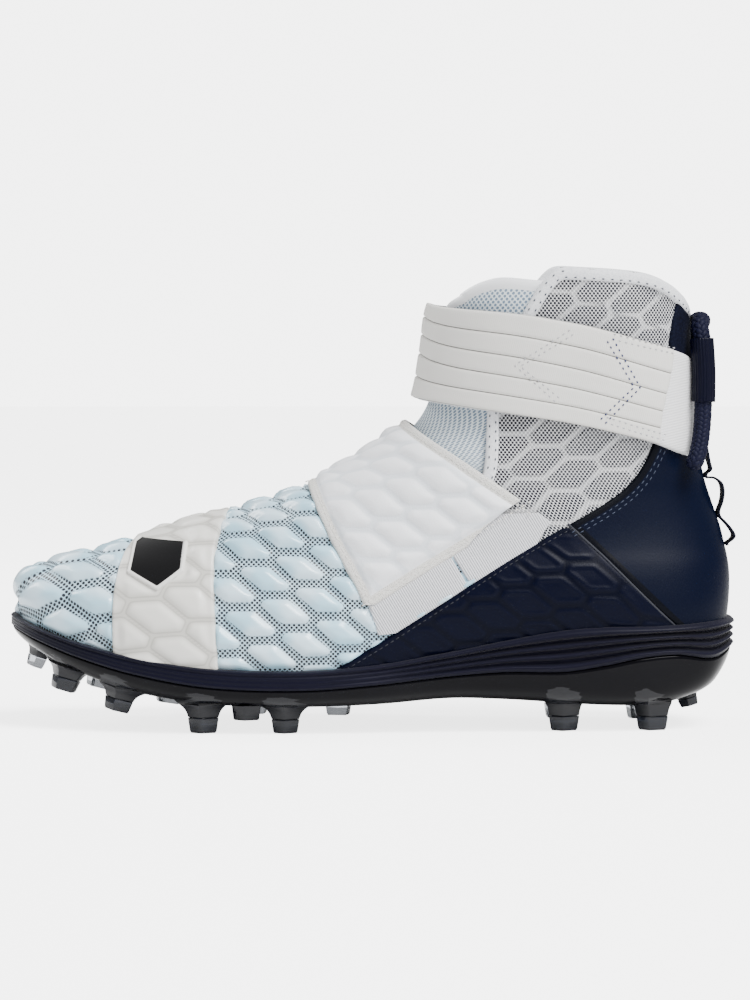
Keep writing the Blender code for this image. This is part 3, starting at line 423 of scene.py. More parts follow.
def bumped(tree, shader, height, strength, depth):
    """Lets a pattern of heights turn the light on a finish."""
    bump = node(tree, "ShaderNodeBump", Height=height, Strength=strength, Distance=depth)
    tree.links.new(bump.outputs[0], shader.inputs["Normal"])


foam_finish, tree, shader = finish_named("navy_foam_finish", Roughness=0.42, Specular_IOR_Level=0.06,
                                         Sheen_Weight=0.08)
place = node(tree, "ShaderNodeTexCoord").outputs["Object"]
grained = node(tree, "ShaderNodeGroup", node_tree=GRAIN, Vector=place, Cloud_Scale=60.0, Cloud_Detail=4.0,
               Grain_Scale=2600.0, Grain_Detail=2.0)
foam_tint = mixed(tree, grained.outputs["Cloud"], (0.0013, 0.0013, 0.0060, 1), (0.0026, 0.0025, 0.0105, 1))
tree.links.new(foam_tint, shader.inputs["Base Color"])
bumped(tree, shader, grained.outputs["Grain"], 0.12, 0.0003)
dress(midsole, foam_finish, "navy_foam", "midsole")

# Insole.
# A cloth-covered foam sheet, slightly cupped, that lies on the lasting board
# inside the shoe.
INSIDE = -0.0030
rows = [plan_row(INSIDE, lambda x: rim_height(x) - RIM_HEIGHT + 0.0026)]
for inset, rise in ((0.0, 0.0040), (0.0006, 0.0056), (0.0025, 0.0062), (0.0060, 0.0058), (0.0120, 0.0052)):
    rows.append(plan_row(INSIDE - inset, lambda x, rise=rise: rim_height(x) - RIM_HEIGHT + 0.0022 + rise))
insole = facing_out(lofted("insole_sheet", rows, caps=(True, True)))


def knit_group():
    """Fine knit or weave, a cell for each stitch."""
    group = bpy.data.node_groups.new("fine_knit", "ShaderNodeTree")
    group.interface.new_socket("Vector", in_out="INPUT", socket_type="NodeSocketVector")
    group.interface.new_socket("Stitch Scale", in_out="INPUT", socket_type="NodeSocketFloat")
    group.interface.new_socket("Height", in_out="OUTPUT", socket_type="NodeSocketFloat")
    start, end = group.nodes.new("NodeGroupInput"), group.nodes.new("NodeGroupOutput")
    cells = node(group, "ShaderNodeTexVoronoi", Vector=start.outputs["Vector"],
                 Scale=start.outputs["Stitch Scale"])
    group.links.new(cells.outputs["Distance"], end.inputs["Height"])
    return group


KNIT = knit_group()
insole_finish, tree, shader = finish_named("insole_foam_finish", Roughness=0.9)
place = node(tree, "ShaderNodeTexCoord").outputs["Object"]
knit = node(tree, "ShaderNodeGroup", node_tree=KNIT, Vector=place, Stitch_Scale=1100.0).outputs["Height"]
tree.links.new(mixed(tree, knit, (0.10, 0.12, 0.18, 1), (0.05, 0.06, 0.10, 1)), shader.inputs["Base Color"])
bumped(tree, shader, knit, 0.3, 0.0003)
dress(insole, insole_finish, "insole_foam", "insole")

# Vamp.
# The front of the upper, from the toe back to under the instep strap: pale blue
# mesh full of pinholes, with gloss pads shaped like scales fused on its face.
# It is pulled over the last and cemented in under the foot.
COLLAR_TOP = float(max(level_points(13, np.linspace(0, 18, 200))[:, 2]))


def skin(columns, levels):
    """The last's face on a grid of columns and levels, and its outward direction."""
    rows = np.array([level_points(max(level, 0.0), columns) for level in levels])
    below = np.clip(-levels, 0, None)
    along = np.gradient(rows, axis=1)
    level_out = np.stack([along[..., 1], -along[..., 0], np.zeros(along.shape[:2])], axis=-1)
    level_out /= np.linalg.norm(level_out, axis=2, keepdims=True)
    rows -= level_out * (FEATHER_INSET * below)[:, None, None]
    rows[..., 2] -= (RIM_HEIGHT * below)[:, None]
    out = np.cross(np.gradient(rows, axis=1), np.gradient(rows, axis=0))
    return rows, out / np.linalg.norm(out, axis=2, keepdims=True)


def grid_faces(row_count, column_count):
    return [(r * column_count + c, r * column_count + c + 1, (r + 1) * column_count + c + 1,
             (r + 1) * column_count + c)
            for r in range(row_count - 1) for c in range(column_count - 1)]


PATTERN_COLUMNS, PATTERN_LEVELS = np.linspace(-14, 14, 113), np.linspace(0, 9, 46)


def unrolled_pattern():
    """The lower part of the last's face laid flat as its pattern piece is, in metres back and up."""
    rows, _ = skin(PATTERN_COLUMNS, PATTERN_LEVELS)
    flat_piece = mesh_piece("pattern", rows.reshape(-1, 3), grid_faces(*rows.shape[:2]))
    flat_piece.data.uv_layers.new(name="flat")
    for other in bpy.context.selected_objects:
        other.select_set(False)
    bpy.context.view_layer.objects.active = flat_piece
    flat_piece.select_set(True)
    bpy.ops.object.mode_set(mode="EDIT")
    bpy.ops.mesh.select_all(action="SELECT")
    bpy.ops.uv.unwrap(method="CONFORMAL", margin=0)
    bpy.ops.object.mode_set(mode="OBJECT")
    laid = np.zeros(len(flat_piece.data.vertices), complex)
    for loop, uv in zip(flat_piece.data.loops, flat_piece.data.uv_layers[0].data):
        laid[loop.vertex_index] = complex(*uv.uv)
    mesh = flat_piece.data
    bpy.data.objects.remove(flat_piece)
    bpy.data.meshes.remove(mesh)
    target = (-rows[..., 0] + 1j * rows[..., 2])
    sample = np.zeros(rows.shape[:2], bool)
    sample[6:26, 72:100] = True
    laid = laid.reshape(rows.shape[:2])
    a, b = laid[sample], target[sample]
    turn = np.vdot(a - a.mean(), b - b.mean()) / np.vdot(a - a.mean(), a - a.mean())
    laid = (laid - a.mean()) * turn + b.mean()
    return np.stack([laid.real, laid.imag, np.zeros(laid.shape)], axis=-1)


PATTERN = unrolled_pattern()


def on_pattern(columns, levels):
    """Where a grid of columns and levels comes to lie on the flat pattern."""
    c = (np.asarray(columns) - PATTERN_COLUMNS[0]) / (PATTERN_COLUMNS[1] - PATTERN_COLUMNS[0])
    r = (np.asarray(levels) - PATTERN_LEVELS[0]) / (PATTERN_LEVELS[1] - PATTERN_LEVELS[0])
    ci = np.clip(c.astype(int), 0, len(PATTERN_COLUMNS) - 2)
    ri = np.clip(np.floor(r).astype(int), 0, len(PATTERN_LEVELS) - 2)
    ct, rt = (c - ci)[None, :, None], (r - ri)[:, None, None]
    low = PATTERN[ri][:, ci] * (1 - ct) + PATTERN[ri][:, ci + 1] * ct
    high = PATTERN[ri + 1][:, ci] * (1 - ct) + PATTERN[ri + 1][:, ci + 1] * ct
    return low * (1 - rt) + high * rt


def round_the_leg(columns, levels):
    """A pattern for the shaft: metres round it from the front, and metres up."""
    rows, _ = skin(columns, levels)
    around = np.concatenate([np.zeros((len(levels), 1)),
                             np.cumsum(np.linalg.norm(np.diff(rows[..., :2], axis=1), axis=2), axis=1)],
                             axis=1)
    return np.stack([around, rows[..., 2], np.zeros(around.shape)], axis=-1)


def seen_from_side(shares, steps=6):
    """A smooth outline in the side view, in metres, from shares of the length and of the height."""
    points = np.array(shares)
    padded = np.vstack([points[:1], points, points[-1:]])
    t = np.linspace(0, 1, steps, endpoint=False)[:, None]
    path = []
    for p0, p1, p2, p3 in zip(padded, padded[1:], padded[2:], padded[3:]):
        path.append(0.5
                    * (2 * p1 + (p2 - p0) * t + (2 * p0 - 5 * p1 + 4 * p2 - p3) * t**2
                       + (3 * p1 - p0 - 3 * p2 + p3) * t**3))
    path = np.vstack([*path, points[-1:]])
    x = path[:, 0] * LENGTH
    rim = rim_height(np.clip(x, 0, LENGTH))
    return np.column_stack([x, rim + path[:, 1] * (COLLAR_TOP - rim)])


def depth_inside(outline, points):
    """How far points lie inside a closed outline of the side view; less than 0 outside it."""
    p = points[:, [0, 2]][:, None]
    a, b = outline[None], np.roll(outline, -1, axis=0)[None]
    run = b - a
    t = np.clip(((p - a) * run).sum(2) / np.maximum((run * run).sum(2), 1e-16), 0, 1)
    near = np.sqrt(((p - a - run * t[..., None]) ** 2).sum(2)).min(1)
    over = (a[..., 1] > p[..., 1]) != (b[..., 1] > p[..., 1])
    rise = np.where(np.abs(run[..., 1]) < 1e-12, 1e-12, run[..., 1])
    crossing = over & (p[..., 0] < a[..., 0] + run[..., 0] * (p[..., 1] - a[..., 1]) / rise)
    return np.where(crossing.sum(1) % 2 == 1, near, -near)


def cloth(columns, levels, pattern=on_pattern):
    """Cloth on the last's face, with its outward direction and its place on the flat pattern kept on it."""
    rows, out = skin(columns, levels)
    laid = pattern(columns, levels)
    bm = bmesh.new()
    out_layer, laid_layer = bm.verts.layers.float_vector.new("out"), bm.verts.layers.float_vector.new("laid")
    level_layer = bm.verts.layers.float.new("level")
    verts = []
    for point, way, flat, level in zip(rows.reshape(-1, 3), out.reshape(-1, 3), laid.reshape(-1, 3),
                                       np.repeat(levels, len(columns))):
        vert = bm.verts.new(point)
        vert[out_layer], vert[laid_layer], vert[level_layer] = Vector(way), Vector(flat), level
        verts.append(vert)
    for face in grid_faces(*rows.shape[:2]):
        bm.faces.new([verts[i] for i in face]).smooth = True
    if columns[-1] - columns[0] == 2 * HEEL_COLUMN:
        bmesh.ops.remove_doubles(bm, verts=bm.verts, dist=1e-6)
    return bm


def trimmed(bm, depth, lines=()):
    """Cuts cloth where depth falls below 0, and scores it at more depths, to shape its edge there."""
    edge_layer = bm.verts.layers.float.new("edge")
    for mark in (0.0, *lines):
        bm.verts.ensure_lookup_table()
        values = depth(np.array([v.co for v in bm.verts])) - mark
        values[np.abs(values) < 2e-6] = 0.0
        bm.verts.index_update()
        on_line = [v for v in bm.verts if values[v.index] == 0.0]
        for edge in list(bm.edges):
            a, b = edge.verts
            va, vb = values[a.index], values[b.index]
            if va * vb < 0:
                _, vert = bmesh.utils.edge_split(edge, a, va / (va - vb))
                on_line.append(vert)
        bm.verts.index_update()
        bmesh.ops.connect_verts(bm, verts=on_line)
        if mark == 0.0:
            bm.verts.ensure_lookup_table()
            now = depth(np.array([v.co for v in bm.verts]))
            keep_on = set(on_line)
            gone = [v for v in bm.verts if now[v.index] < -5e-6 and v not in keep_on]
            bmesh.ops.delete(bm, geom=gone, context="VERTS")
    bm.verts.ensure_lookup_table()
    for vert, value in zip(bm.verts, depth(np.array([v.co for v in bm.verts]))):
        vert[edge_layer] = max(value, 0.0)
    return bm


def raised(bm, lift):
    """Moves cloth out from the last by a lift that depends on the distance from its edge."""
    edge_layer, out_layer = bm.verts.layers.float["edge"], bm.verts.layers.float_vector["out"]
    heights = lift(np.array([v[edge_layer] for v in bm.verts]))
    for vert, height in zip(bm.verts, heights):
        vert.co += vert[out_layer] * float(height)
    return bm


def cloth_piece(name, bm):
    bmesh.ops.translate(bm, vec=HEEL_BACK, verts=bm.verts)
    mesh = bpy.data.meshes.new(name)
    bm.to_mesh(mesh)
    bm.free()
    mesh.polygons.foreach_set("use_smooth", [True] * len(mesh.polygons))
    piece = bpy.data.objects.new(name, mesh)
    bpy.context.scene.collection.objects.link(piece)
    return piece


def shape_tree(name, inputs):
    """An empty Geometry Nodes tree with named inputs, its ends in place."""
    tree = bpy.data.node_groups.new(name, "GeometryNodeTree")
    tree.interface.new_socket("Geometry", in_out="INPUT", socket_type="NodeSocketGeometry")
    for label, kind in inputs.items():
        tree.interface.new_socket(label, in_out="INPUT", socket_type=f"NodeSocket{kind}")
    tree.interface.new_socket("Geometry", in_out="OUTPUT", socket_type="NodeSocketGeometry")
    return tree, tree.nodes.new("NodeGroupInput"), tree.nodes.new("NodeGroupOutput")


def finish_tree(tree, ends, shape, start):
    """Ends a tree in Realize Instances and Set Material."""
    whole = node(tree, "GeometryNodeRealizeInstances", Geometry=shape)
    dressed = node(tree, "GeometryNodeSetMaterial", Geometry=whole.outputs[0],
                   Material=start.outputs["Finish"])
    tree.links.new(dressed.outputs[0], ends.inputs[0])


def shaped_by(piece, tree, **values):
    """Shapes a piece with a tree, its inputs set by name, and keeps the result as a plain mesh."""
    modifier = piece.modifiers.new(tree.name, "NODES")
    modifier.node_group = tree
    for item in tree.interface.items_tree:
        if item.in_out == "INPUT" and item.name.replace(" ", "_") in values:
            modifier[item.identifier] = values[item.name.replace(" ", "_")]
    bpy.context.view_layer.update()
    done = piece.evaluated_get(bpy.context.evaluated_depsgraph_get())
    mesh = bpy.data.meshes.new_from_object(done)
    old = piece.data
    piece.modifiers.remove(modifier)
    if piece.type == "MESH":
        piece.data = mesh
        bpy.data.meshes.remove(old)
        return piece
    made = bpy.data.objects.new(piece.name + "_made", mesh)
    bpy.context.scene.collection.objects.link(made)
    bpy.data.objects.remove(piece)
    return made


def vector_maths(tree, operation, a, b=None, c=None):
    made = tree.nodes.new("ShaderNodeVectorMath")
    made.operation = operation
    for socket, value in zip(made.inputs, (a, b, c)):
        if isinstance(value, bpy.types.NodeSocket):
            tree.links.new(value, socket)
        elif value is not None:
            socket.default_value = value
    return made.outputs["Value" if operation in {"DOT_PRODUCT", "LENGTH", "DISTANCE"} else "Vector"]


def maths(tree, operation, a, b=None, c=None):
    made = tree.nodes.new("ShaderNodeMath")
    made.operation = operation
    for socket, value in zip(made.inputs, (a, b, c)):
        if isinstance(value, bpy.types.NodeSocket):
            tree.links.new(value, socket)
        elif value is not None:
            socket.default_value = value
    return made.outputs[0]


def ramped(tree, value, low, high, start=0.0, end=1.0, smooth=True):
    made = tree.nodes.new("ShaderNodeMapRange")
    made.interpolation_type = "SMOOTHSTEP" if smooth else "LINEAR"
    for name, item in (("Value", value), ("From Min", low), ("From Max", high), ("To Min", start),
                       ("To Max", end)):
        if isinstance(item, bpy.types.NodeSocket):
            tree.links.new(item, made.inputs[name])
        else:
            made.inputs[name].default_value = item
    return made.outputs[0]


def scale_pad_tree():
    """Raises six-sided pads on a slanted lattice of the flat pattern, or the soft outlines of such pads."""
    tree, start, ends = shape_tree("scale_pads", {
        "Step Down": "Vector", "Step Back": "Vector", "Long Side": "Vector", "Short Side": "Vector",
        "Gap": "Float", "Rise": "Float", "Ramp": "Float", "Roundness": "Float", "Hollow": "Float",
        "Finish": "Material"})
    laid = node(tree, "GeometryNodeInputNamedAttribute", data_type="FLOAT_VECTOR",
                Name="laid").outputs["Attribute"]
    down, back = start.outputs["Step Down"], start.outputs["Step Back"]
    across = lambda a, b: node(tree, "ShaderNodeSeparateXYZ",
                               Vector=vector_maths(tree, "CROSS_PRODUCT", a, b)).outputs["Z"]
    whole = across(down, back)
    downs = maths(tree, "FLOOR", maths(tree, "DIVIDE", across(laid, back), whole))
    backs = maths(tree, "FLOOR", maths(tree, "DIVIDE", across(down, laid), whole))
    sides = []
    for way, step in (((0.0, 1.0, 0.0), down), (start.outputs["Long Side"], back),
                      (start.outputs["Short Side"], vector_maths(tree, "ADD", down, back))):
        half = maths(tree, "MULTIPLY",
                     maths(tree, "ABSOLUTE", vector_maths(tree, "DOT_PRODUCT", step, way)), 0.5)
        sides.append((way, half))
    deepest = None
    for i in (0.0, 1.0):
        for j in (0.0, 1.0):
            place = vector_maths(tree, "SUBTRACT", laid, vector_maths(tree, "SCALE", down))
            place.node.inputs[1].links[0].from_node.inputs["Scale"].default_value = 1.0
            tree.links.new(maths(tree, "ADD", downs, i),
                           place.node.inputs[1].links[0].from_node.inputs["Scale"])
            other = vector_maths(tree, "SCALE", back)
            tree.links.new(maths(tree, "ADD", backs, j), other.node.inputs["Scale"])
            place = vector_maths(tree, "SUBTRACT", place, other)
            depth = None
            for way, half in sides:
                inside = maths(tree, "SUBTRACT", half,
                               maths(tree, "ABSOLUTE", vector_maths(tree, "DOT_PRODUCT", place, way)))
                depth = inside if depth is None else maths(tree, "SMOOTH_MIN", depth, inside, 0.0012)
            deepest = depth if deepest is None else maths(tree, "MAXIMUM", deepest, depth)
    inside = maths(tree, "SUBTRACT", deepest, maths(tree, "MULTIPLY", start.outputs["Gap"], 0.5))
    share = maths(tree, "DIVIDE", inside, start.outputs["Ramp"])
    share = maths(tree, "MINIMUM", maths(tree, "MAXIMUM", share, 0.0), 1.0)
    dome = maths(tree, "SUBTRACT", 1.0,
                 maths(tree, "POWER", maths(tree, "SUBTRACT", 1.0, share), start.outputs["Roundness"]))
    sunk = maths(tree, "MULTIPLY", ramped(tree, share, 0.45, 1.0), start.outputs["Hollow"])
    height = maths(tree, "MULTIPLY", maths(tree, "SUBTRACT", dome, sunk), start.outputs["Rise"])
    bare = node(tree, "GeometryNodeInputNamedAttribute", data_type="FLOAT",
                Name="bare").outputs["Attribute"]
    height = maths(tree, "MULTIPLY", height, bare)
    out = node(tree, "GeometryNodeInputNamedAttribute", data_type="FLOAT_VECTOR",
               Name="out").outputs["Attribute"]
    offset = vector_maths(tree, "SCALE", out)
    tree.links.new(height, offset.node.inputs["Scale"])
    stored = node(tree, "GeometryNodeStoreNamedAttribute", data_type="FLOAT", domain="POINT",
                  Geometry=start.outputs["Geometry"], Name="pad", Value=inside)
    moved = node(tree, "GeometryNodeSetPosition", Geometry=stored.outputs[0], Offset=offset)
    finish_tree(tree, ends, moved.outputs[0], start)
    return tree


SCALE_PADS = scale_pad_tree()
SCALE_LATTICE = dict(Step_Down=(0.00847, -0.01336, 0.0), Step_Back=(0.01403, 0.00490, 0.0),
                     Long_Side=(0.637, 0.772, 0.0), Short_Side=(0.894, -0.447, 0.0))


def mark_bare(bm, shares):
    """Keeps on cloth how much of its relief shows: 1 in the open, 0 under a layer that lies over it."""
    layer = bm.verts.layers.float.new("bare")
    for vert, share in zip(bm.verts, shares):
        vert[layer] = float(share)


BAND_FRONT = [(0.851, -0.06), (0.853, 0.108), (0.848, 0.192), (0.838, 0.255), (0.812, 0.320),
              (0.790, 0.390)]
BAND_REAR = [(0.706, -0.06), (0.713, 0.142), (0.714, 0.249), (0.708, 0.328), (0.690, 0.400), (0.680, 0.460)]
STRAP_FRONT = [(0.640, 0.640), (0.592, 0.460), (0.557, 0.320), (0.523, 0.200), (0.507, 0.140)]
STRAP_REAR = [(0.281, 0.345), (0.365, 0.475), (0.445, 0.588), (0.480, 0.660)]
THROAT = [(0.236, 1.10), (0.243, 0.995), (0.262, 0.960), (0.281, 0.905), (0.315, 0.782), (0.338, 0.650),
          (0.344, 0.462), (0.367, 0.408), (0.419, 0.430), (0.468, 0.520), (0.500, 0.600)]
band_outline = np.vstack([seen_from_side(BAND_FRONT), seen_from_side(BAND_REAR)[::-1]])
strap_outline = np.vstack([seen_from_side(STRAP_FRONT), seen_from_side(STRAP_REAR)])
PANEL_TOP = [(0.231, 0.288), (0.364, 0.168), (0.481, 0.064), (0.572, -0.020), (0.637, -0.080)]
GORE_LOW = [(0.240, 0.290), (0.364, 0.178), (0.368, 0.175), (0.488, 0.068)]
panel_outline = np.vstack([seen_from_side([(0.0460, -0.08), (0.2312, 0.288)], 1),
                           seen_from_side(PANEL_TOP)[1:]])
gore_outline = np.vstack([seen_from_side([STRAP_FRONT[-1], STRAP_REAR[0]], 1), seen_from_side(GORE_LOW, 1)])
throat_outline = np.vstack([seen_from_side(THROAT), seen_from_side([(0.56, 0.80), (0.50, 1.20)], 1)])
VAMP_REAR = [(0.36, -0.20), (0.36, 0.20), (0.372, 0.395)]
vamp_outline = np.vstack([seen_from_side(VAMP_REAR, 1), seen_from_side(THROAT[7:]),
                          seen_from_side([(0.56, 0.80), (1.10, 0.80), (1.10, -0.30)], 1)])

bm = trimmed(cloth(np.linspace(-13.5, 13.5, 470), np.linspace(-0.6, 9.4, 130)),
             lambda p: depth_inside(vamp_outline, p))
points = np.array([v.co for v in bm.verts])
over_it = (band_outline, strap_outline, panel_outline, gore_outline)
covered = np.max([depth_inside(outline, points) for outline in over_it], axis=0)
mark_bare(bm,
          np.clip(0.5 - covered / 0.0012, 0, 1) * np.clip((points[:, 2] - rim_height(points[:, 0])) / 0.003,
                                                          0, 1))
vamp = cloth_piece("vamp_mesh", bm)


def pinhole_group():
    """A staggered grid of round pinholes, for any knit mesh: how much a point is in a hole."""
    group = bpy.data.node_groups.new("pinholes", "ShaderNodeTree")
    group.interface.new_socket("Vector", in_out="INPUT", socket_type="NodeSocketVector")
    for label, value in (("Across", 0.0020), ("Up", 0.0020), ("Radius", 0.0004)):
        group.interface.new_socket(label, in_out="INPUT",
                                   socket_type="NodeSocketFloat").default_value = value
    group.interface.new_socket("Hole", in_out="OUTPUT", socket_type="NodeSocketFloat")
    start, ends = group.nodes.new("NodeGroupInput"), group.nodes.new("NodeGroupOutput")
    pitch = node(group, "ShaderNodeCombineXYZ", X=start.outputs["Across"], Y=start.outputs["Up"],
                 Z=1.0).outputs[0]
    cell = vector_maths(group, "DIVIDE", start.outputs["Vector"], pitch)
    nearest = None
    for shift in (0.0, 0.5):
        inside = vector_maths(group, "FRACTION", vector_maths(group, "ADD", cell, (shift, shift, 0)))
        away = vector_maths(group, "MULTIPLY", vector_maths(group, "SUBTRACT", inside, (0.5, 0.5, 0.0)),
                            pitch)
        away = vector_maths(group, "MULTIPLY", away, (1.0, 1.0, 0.0))
        length = vector_maths(group, "LENGTH", away)
        nearest = length if nearest is None else maths(group, "MINIMUM", nearest, length)
    soft = maths(group, "MULTIPLY", start.outputs["Radius"], 0.14)
    low, high = maths(group, "SUBTRACT", start.outputs["Radius"],
                      soft), maths(group, "ADD", start.outputs["Radius"], soft)
    group.links.new(ramped(group, nearest, low, high, 1.0, 0.0), ends.inputs["Hole"])
    return group


PINHOLES = pinhole_group()


def attribute(tree, name):
    return node(tree, "ShaderNodeAttribute", attribute_name=name)


def holed_mesh_finish(name, cloth_low, cloth_high, pearl_low, pearl_high, across, radius, closed):
    """Knit mesh with pinholes and pads, each of two close tints; the open pinholes are painted near black,
    painted shade inside the holes; closed hides holes on and round the pads.
    """
    finish, tree, shader = finish_named(name, Coat_Weight=0.20, Coat_Roughness=0.18)
    laid = attribute(tree, "laid").outputs["Vector"]
    pad = attribute(tree, "pad").outputs["Fac"]
    on_pad = ramped(tree, pad, 0.0004, 0.0010)
    holes = node(tree, "ShaderNodeGroup", node_tree=PINHOLES, Vector=laid, Across=across, Up=0.0020,
                 Radius=radius).outputs["Hole"]
    on_line = ramped(tree, maths(tree, "ABSOLUTE", pad), 0.0001, 0.0010, 1.0, 0.0)
    hidden = maths(tree, "ADD", maths(tree, "MULTIPLY", on_pad, closed[0]),
                   maths(tree, "MULTIPLY", on_line, closed[1]))
    shaded_hole = maths(tree, "MULTIPLY", holes,
                      maths(tree, "MAXIMUM", maths(tree, "SUBTRACT", 1.0, hidden), 0.0))
    tint = node(tree, "ShaderNodeTexNoise", Vector=laid, Scale=70.0, Detail=1.0).outputs["Fac"]
    cloth_tint = mixed(tree, ramped(tree, tint, 0.35, 0.65), cloth_low, cloth_high)
    pearl = mixed(tree, ramped(tree, tint, 0.38, 0.62), pearl_low, pearl_high)
    # Painted shade: the open pinholes are painted near black, standing for the shade inside the holes.
    colour = mixed(tree, shaded_hole, mixed(tree, on_pad, cloth_tint, pearl), (0.004, 0.005, 0.012, 1))
    tree.links.new(colour, shader.inputs["Base Color"])
    tree.links.new(ramped(tree, on_pad, 0.0, 1.0, 0.75, 0.25), shader.inputs["Roughness"])
    knit = node(tree, "ShaderNodeGroup", node_tree=KNIT, Vector=laid, Stitch_Scale=1400.0).outputs["Height"]
    show = maths(tree, "SUBTRACT", 0.25, maths(tree, "MULTIPLY", on_pad, 0.22))
    height = maths(tree, "SUBTRACT", maths(tree, "MULTIPLY", knit, show), shaded_hole)
    bumped(tree, shader, height, 0.45, 0.00025)
    return finish


ice_finish = holed_mesh_finish("ice_mesh_finish", (0.36, 0.54, 0.65, 1), (0.45, 0.61, 0.70, 1),
                               (0.36, 0.58, 0.70, 1), (0.54, 0.69, 0.78, 1), 0.0020, 0.00056, (1.0, 0.0))
shaped_by(vamp, SCALE_PADS, **SCALE_LATTICE, Gap=0.0023, Rise=0.0027, Ramp=0.0034, Roundness=1.35,
          Hollow=0.0, Finish=ice_finish)
dress(vamp, ice_finish, "ice_mesh", "upper")

# Shaft and lining.
# The rear of the upper and its high shaft, in off-white mesh with finer pinholes
# and faint pads; inside, a plain knit lining 2.2 mm behind the outer face.
WALL = 0.0022
ROUND_COLUMNS = np.linspace(-HEEL_COLUMN, HEEL_COLUMN, 541)


def leg_pattern(columns, levels):
    """The shaft's pattern, measured forward from the heel on each side."""
    laid = round_the_leg(columns, levels)
    whole = laid[:, -1:, 0].copy()
    laid[..., 0] = np.where(columns[None] > 0, whole - laid[..., 0], -laid[..., 0])
    return laid


def outside_of(*outlines):
    return lambda points: np.min([-depth_inside(outline, points) for outline in outlines], axis=0)


bm = trimmed(cloth(ROUND_COLUMNS, np.linspace(-0.6, 13, 150), leg_pattern),
             outside_of(vamp_outline, throat_outline))
bm.verts.ensure_lookup_table()
points = np.array([v.co for v in bm.verts])
covered = np.max([depth_inside(outline, points) for outline in (strap_outline, panel_outline,
                                                                gore_outline)], axis=0)
mark_bare(bm,
          np.clip((-depth_inside(throat_outline, points) - 0.004) / 0.008, 0,
                  1) * np.clip(0.5 - covered / 0.0012, 0, 1))
shaft = cloth_piece("shaft_mesh", bm)
shaft_finish = holed_mesh_finish("shaft_mesh_finish", (0.62, 0.63, 0.65, 1), (0.68, 0.68, 0.69, 1),
                                 (0.62, 0.63, 0.65, 1), (0.68, 0.68, 0.69, 1), 0.0016, 0.00058, (0.0, 0.45))
shaped_by(shaft, SCALE_PADS, **SCALE_LATTICE, Gap=0.0006, Rise=0.0006, Ramp=0.0030, Roundness=2.0,
          Hollow=0.6,
          Finish=shaft_finish)
dress(shaft, shaft_finish, "ice_mesh")

lining = cloth_piece("lining",
                     raised(trimmed(cloth(ROUND_COLUMNS[::3], np.linspace(-0.6, 13, 90), leg_pattern),
                                              outside_of(throat_outline)), lambda edge: 0 * edge - WALL))
lining.data.flip_normals()
lining_finish, tree, shader = finish_named("lining_finish", Base_Color=(0.60, 0.64, 0.68, 1), Roughness=0.9)
laid = attribute(tree, "laid").outputs["Vector"]
knit = node(tree, "ShaderNodeGroup", node_tree=KNIT, Vector=laid, Stitch_Scale=900.0).outputs["Height"]
bumped(tree, shader, knit, 0.3, 0.0003)
dress(lining, lining_finish, "tongue_mesh")

# Tongue.
# Padded mesh tongue under the throat, bound round its top, sewn in at the front
# below the instep strap.
TONGUE = 0.004
TONGUE_EDGE = [(0.226, 0.936), (0.232, 0.915), (0.248, 0.872), (0.277, 0.782), (0.298, 0.650),
               (0.302, 0.455),
               (0.330, 0.365), (0.419, 0.370), (0.500, 0.420), (0.560, 0.470)]
TONGUE_FRONT = [(0.62, 0.788), (0.405, 0.913), (0.388, 0.928), (0.372, 0.943), (0.350, 0.958),
                (0.32, 0.966), (0.27, 0.956), (0.24, 0.950)]
tongue_outline = np.vstack([seen_from_side(TONGUE_EDGE, 4), seen_from_side(TONGUE_FRONT, 4)])


def rolled(middle, half, roll):
    """The two faces of a padded piece, that meet in a round edge."""
    def face(sign):
        return lambda edge: middle + sign * half * np.sqrt(1 - (1 - np.clip(edge / roll, 0, 1)) ** 2)
    return face(1), face(-1)


def padded_cloth(name, columns, levels, outline, middle, half, roll, pattern):
    lines = [roll * share for share in (0.05, 0.18, 0.42, 0.75)]
    faces = rolled(middle, half, roll)
    outer = raised(trimmed(cloth(columns, levels, pattern), outline, lines), faces[0])
    inner = raised(trimmed(cloth(columns, levels, pattern), outline, lines), faces[1])
    bmesh.ops.reverse_faces(inner, faces=inner.faces)
    spare = bpy.data.meshes.new("inner_face")
    inner.to_mesh(spare)
    inner.free()
    outer.from_mesh(spare)
    bpy.data.meshes.remove(spare)
    bmesh.ops.remove_doubles(outer, verts=outer.verts, dist=2e-5)
    bmesh.ops.holes_fill(outer, edges=[line for line in outer.edges if line.is_boundary], sides=60)
    return cloth_piece(name, outer)


tongue = padded_cloth("tongue_mesh", np.linspace(-9.9, 9.9, 208), np.linspace(7.0, 13, 110),
                      lambda p: depth_inside(tongue_outline, p), -(WALL + GAP + TONGUE / 2), TONGUE / 2,
                      0.0032, round_the_leg)
tongue_finish, tree, shader = finish_named("tongue_mesh_finish", Roughness=0.85)
laid = attribute(tree, "laid").outputs["Vector"]
holes = node(tree, "ShaderNodeGroup", node_tree=PINHOLES, Vector=laid, Across=0.0024, Up=0.0024,
             Radius=0.00062).outputs["Hole"]
bound = ramped(tree, attribute(tree, "edge").outputs["Fac"], 0.0042, 0.0046, 1.0, 0.0)
holes = maths(tree, "MULTIPLY", holes, maths(tree, "SUBTRACT", 1.0, bound))
tongue_tint = mixed(tree, bound, (0.66, 0.73, 0.77, 1), (0.72, 0.73, 0.75, 1))
# Painted shade: the pinholes are painted dark blue, standing for the shade inside the holes.
tree.links.new(mixed(tree, holes, tongue_tint, (0.16, 0.22, 0.30, 1)), shader.inputs["Base Color"])
bumped(tree, shader, maths(tree, "SUBTRACT", 1.0, holes), 0.5, 0.0004)
dress(tongue, tongue_finish, "tongue_mesh", "tongue")

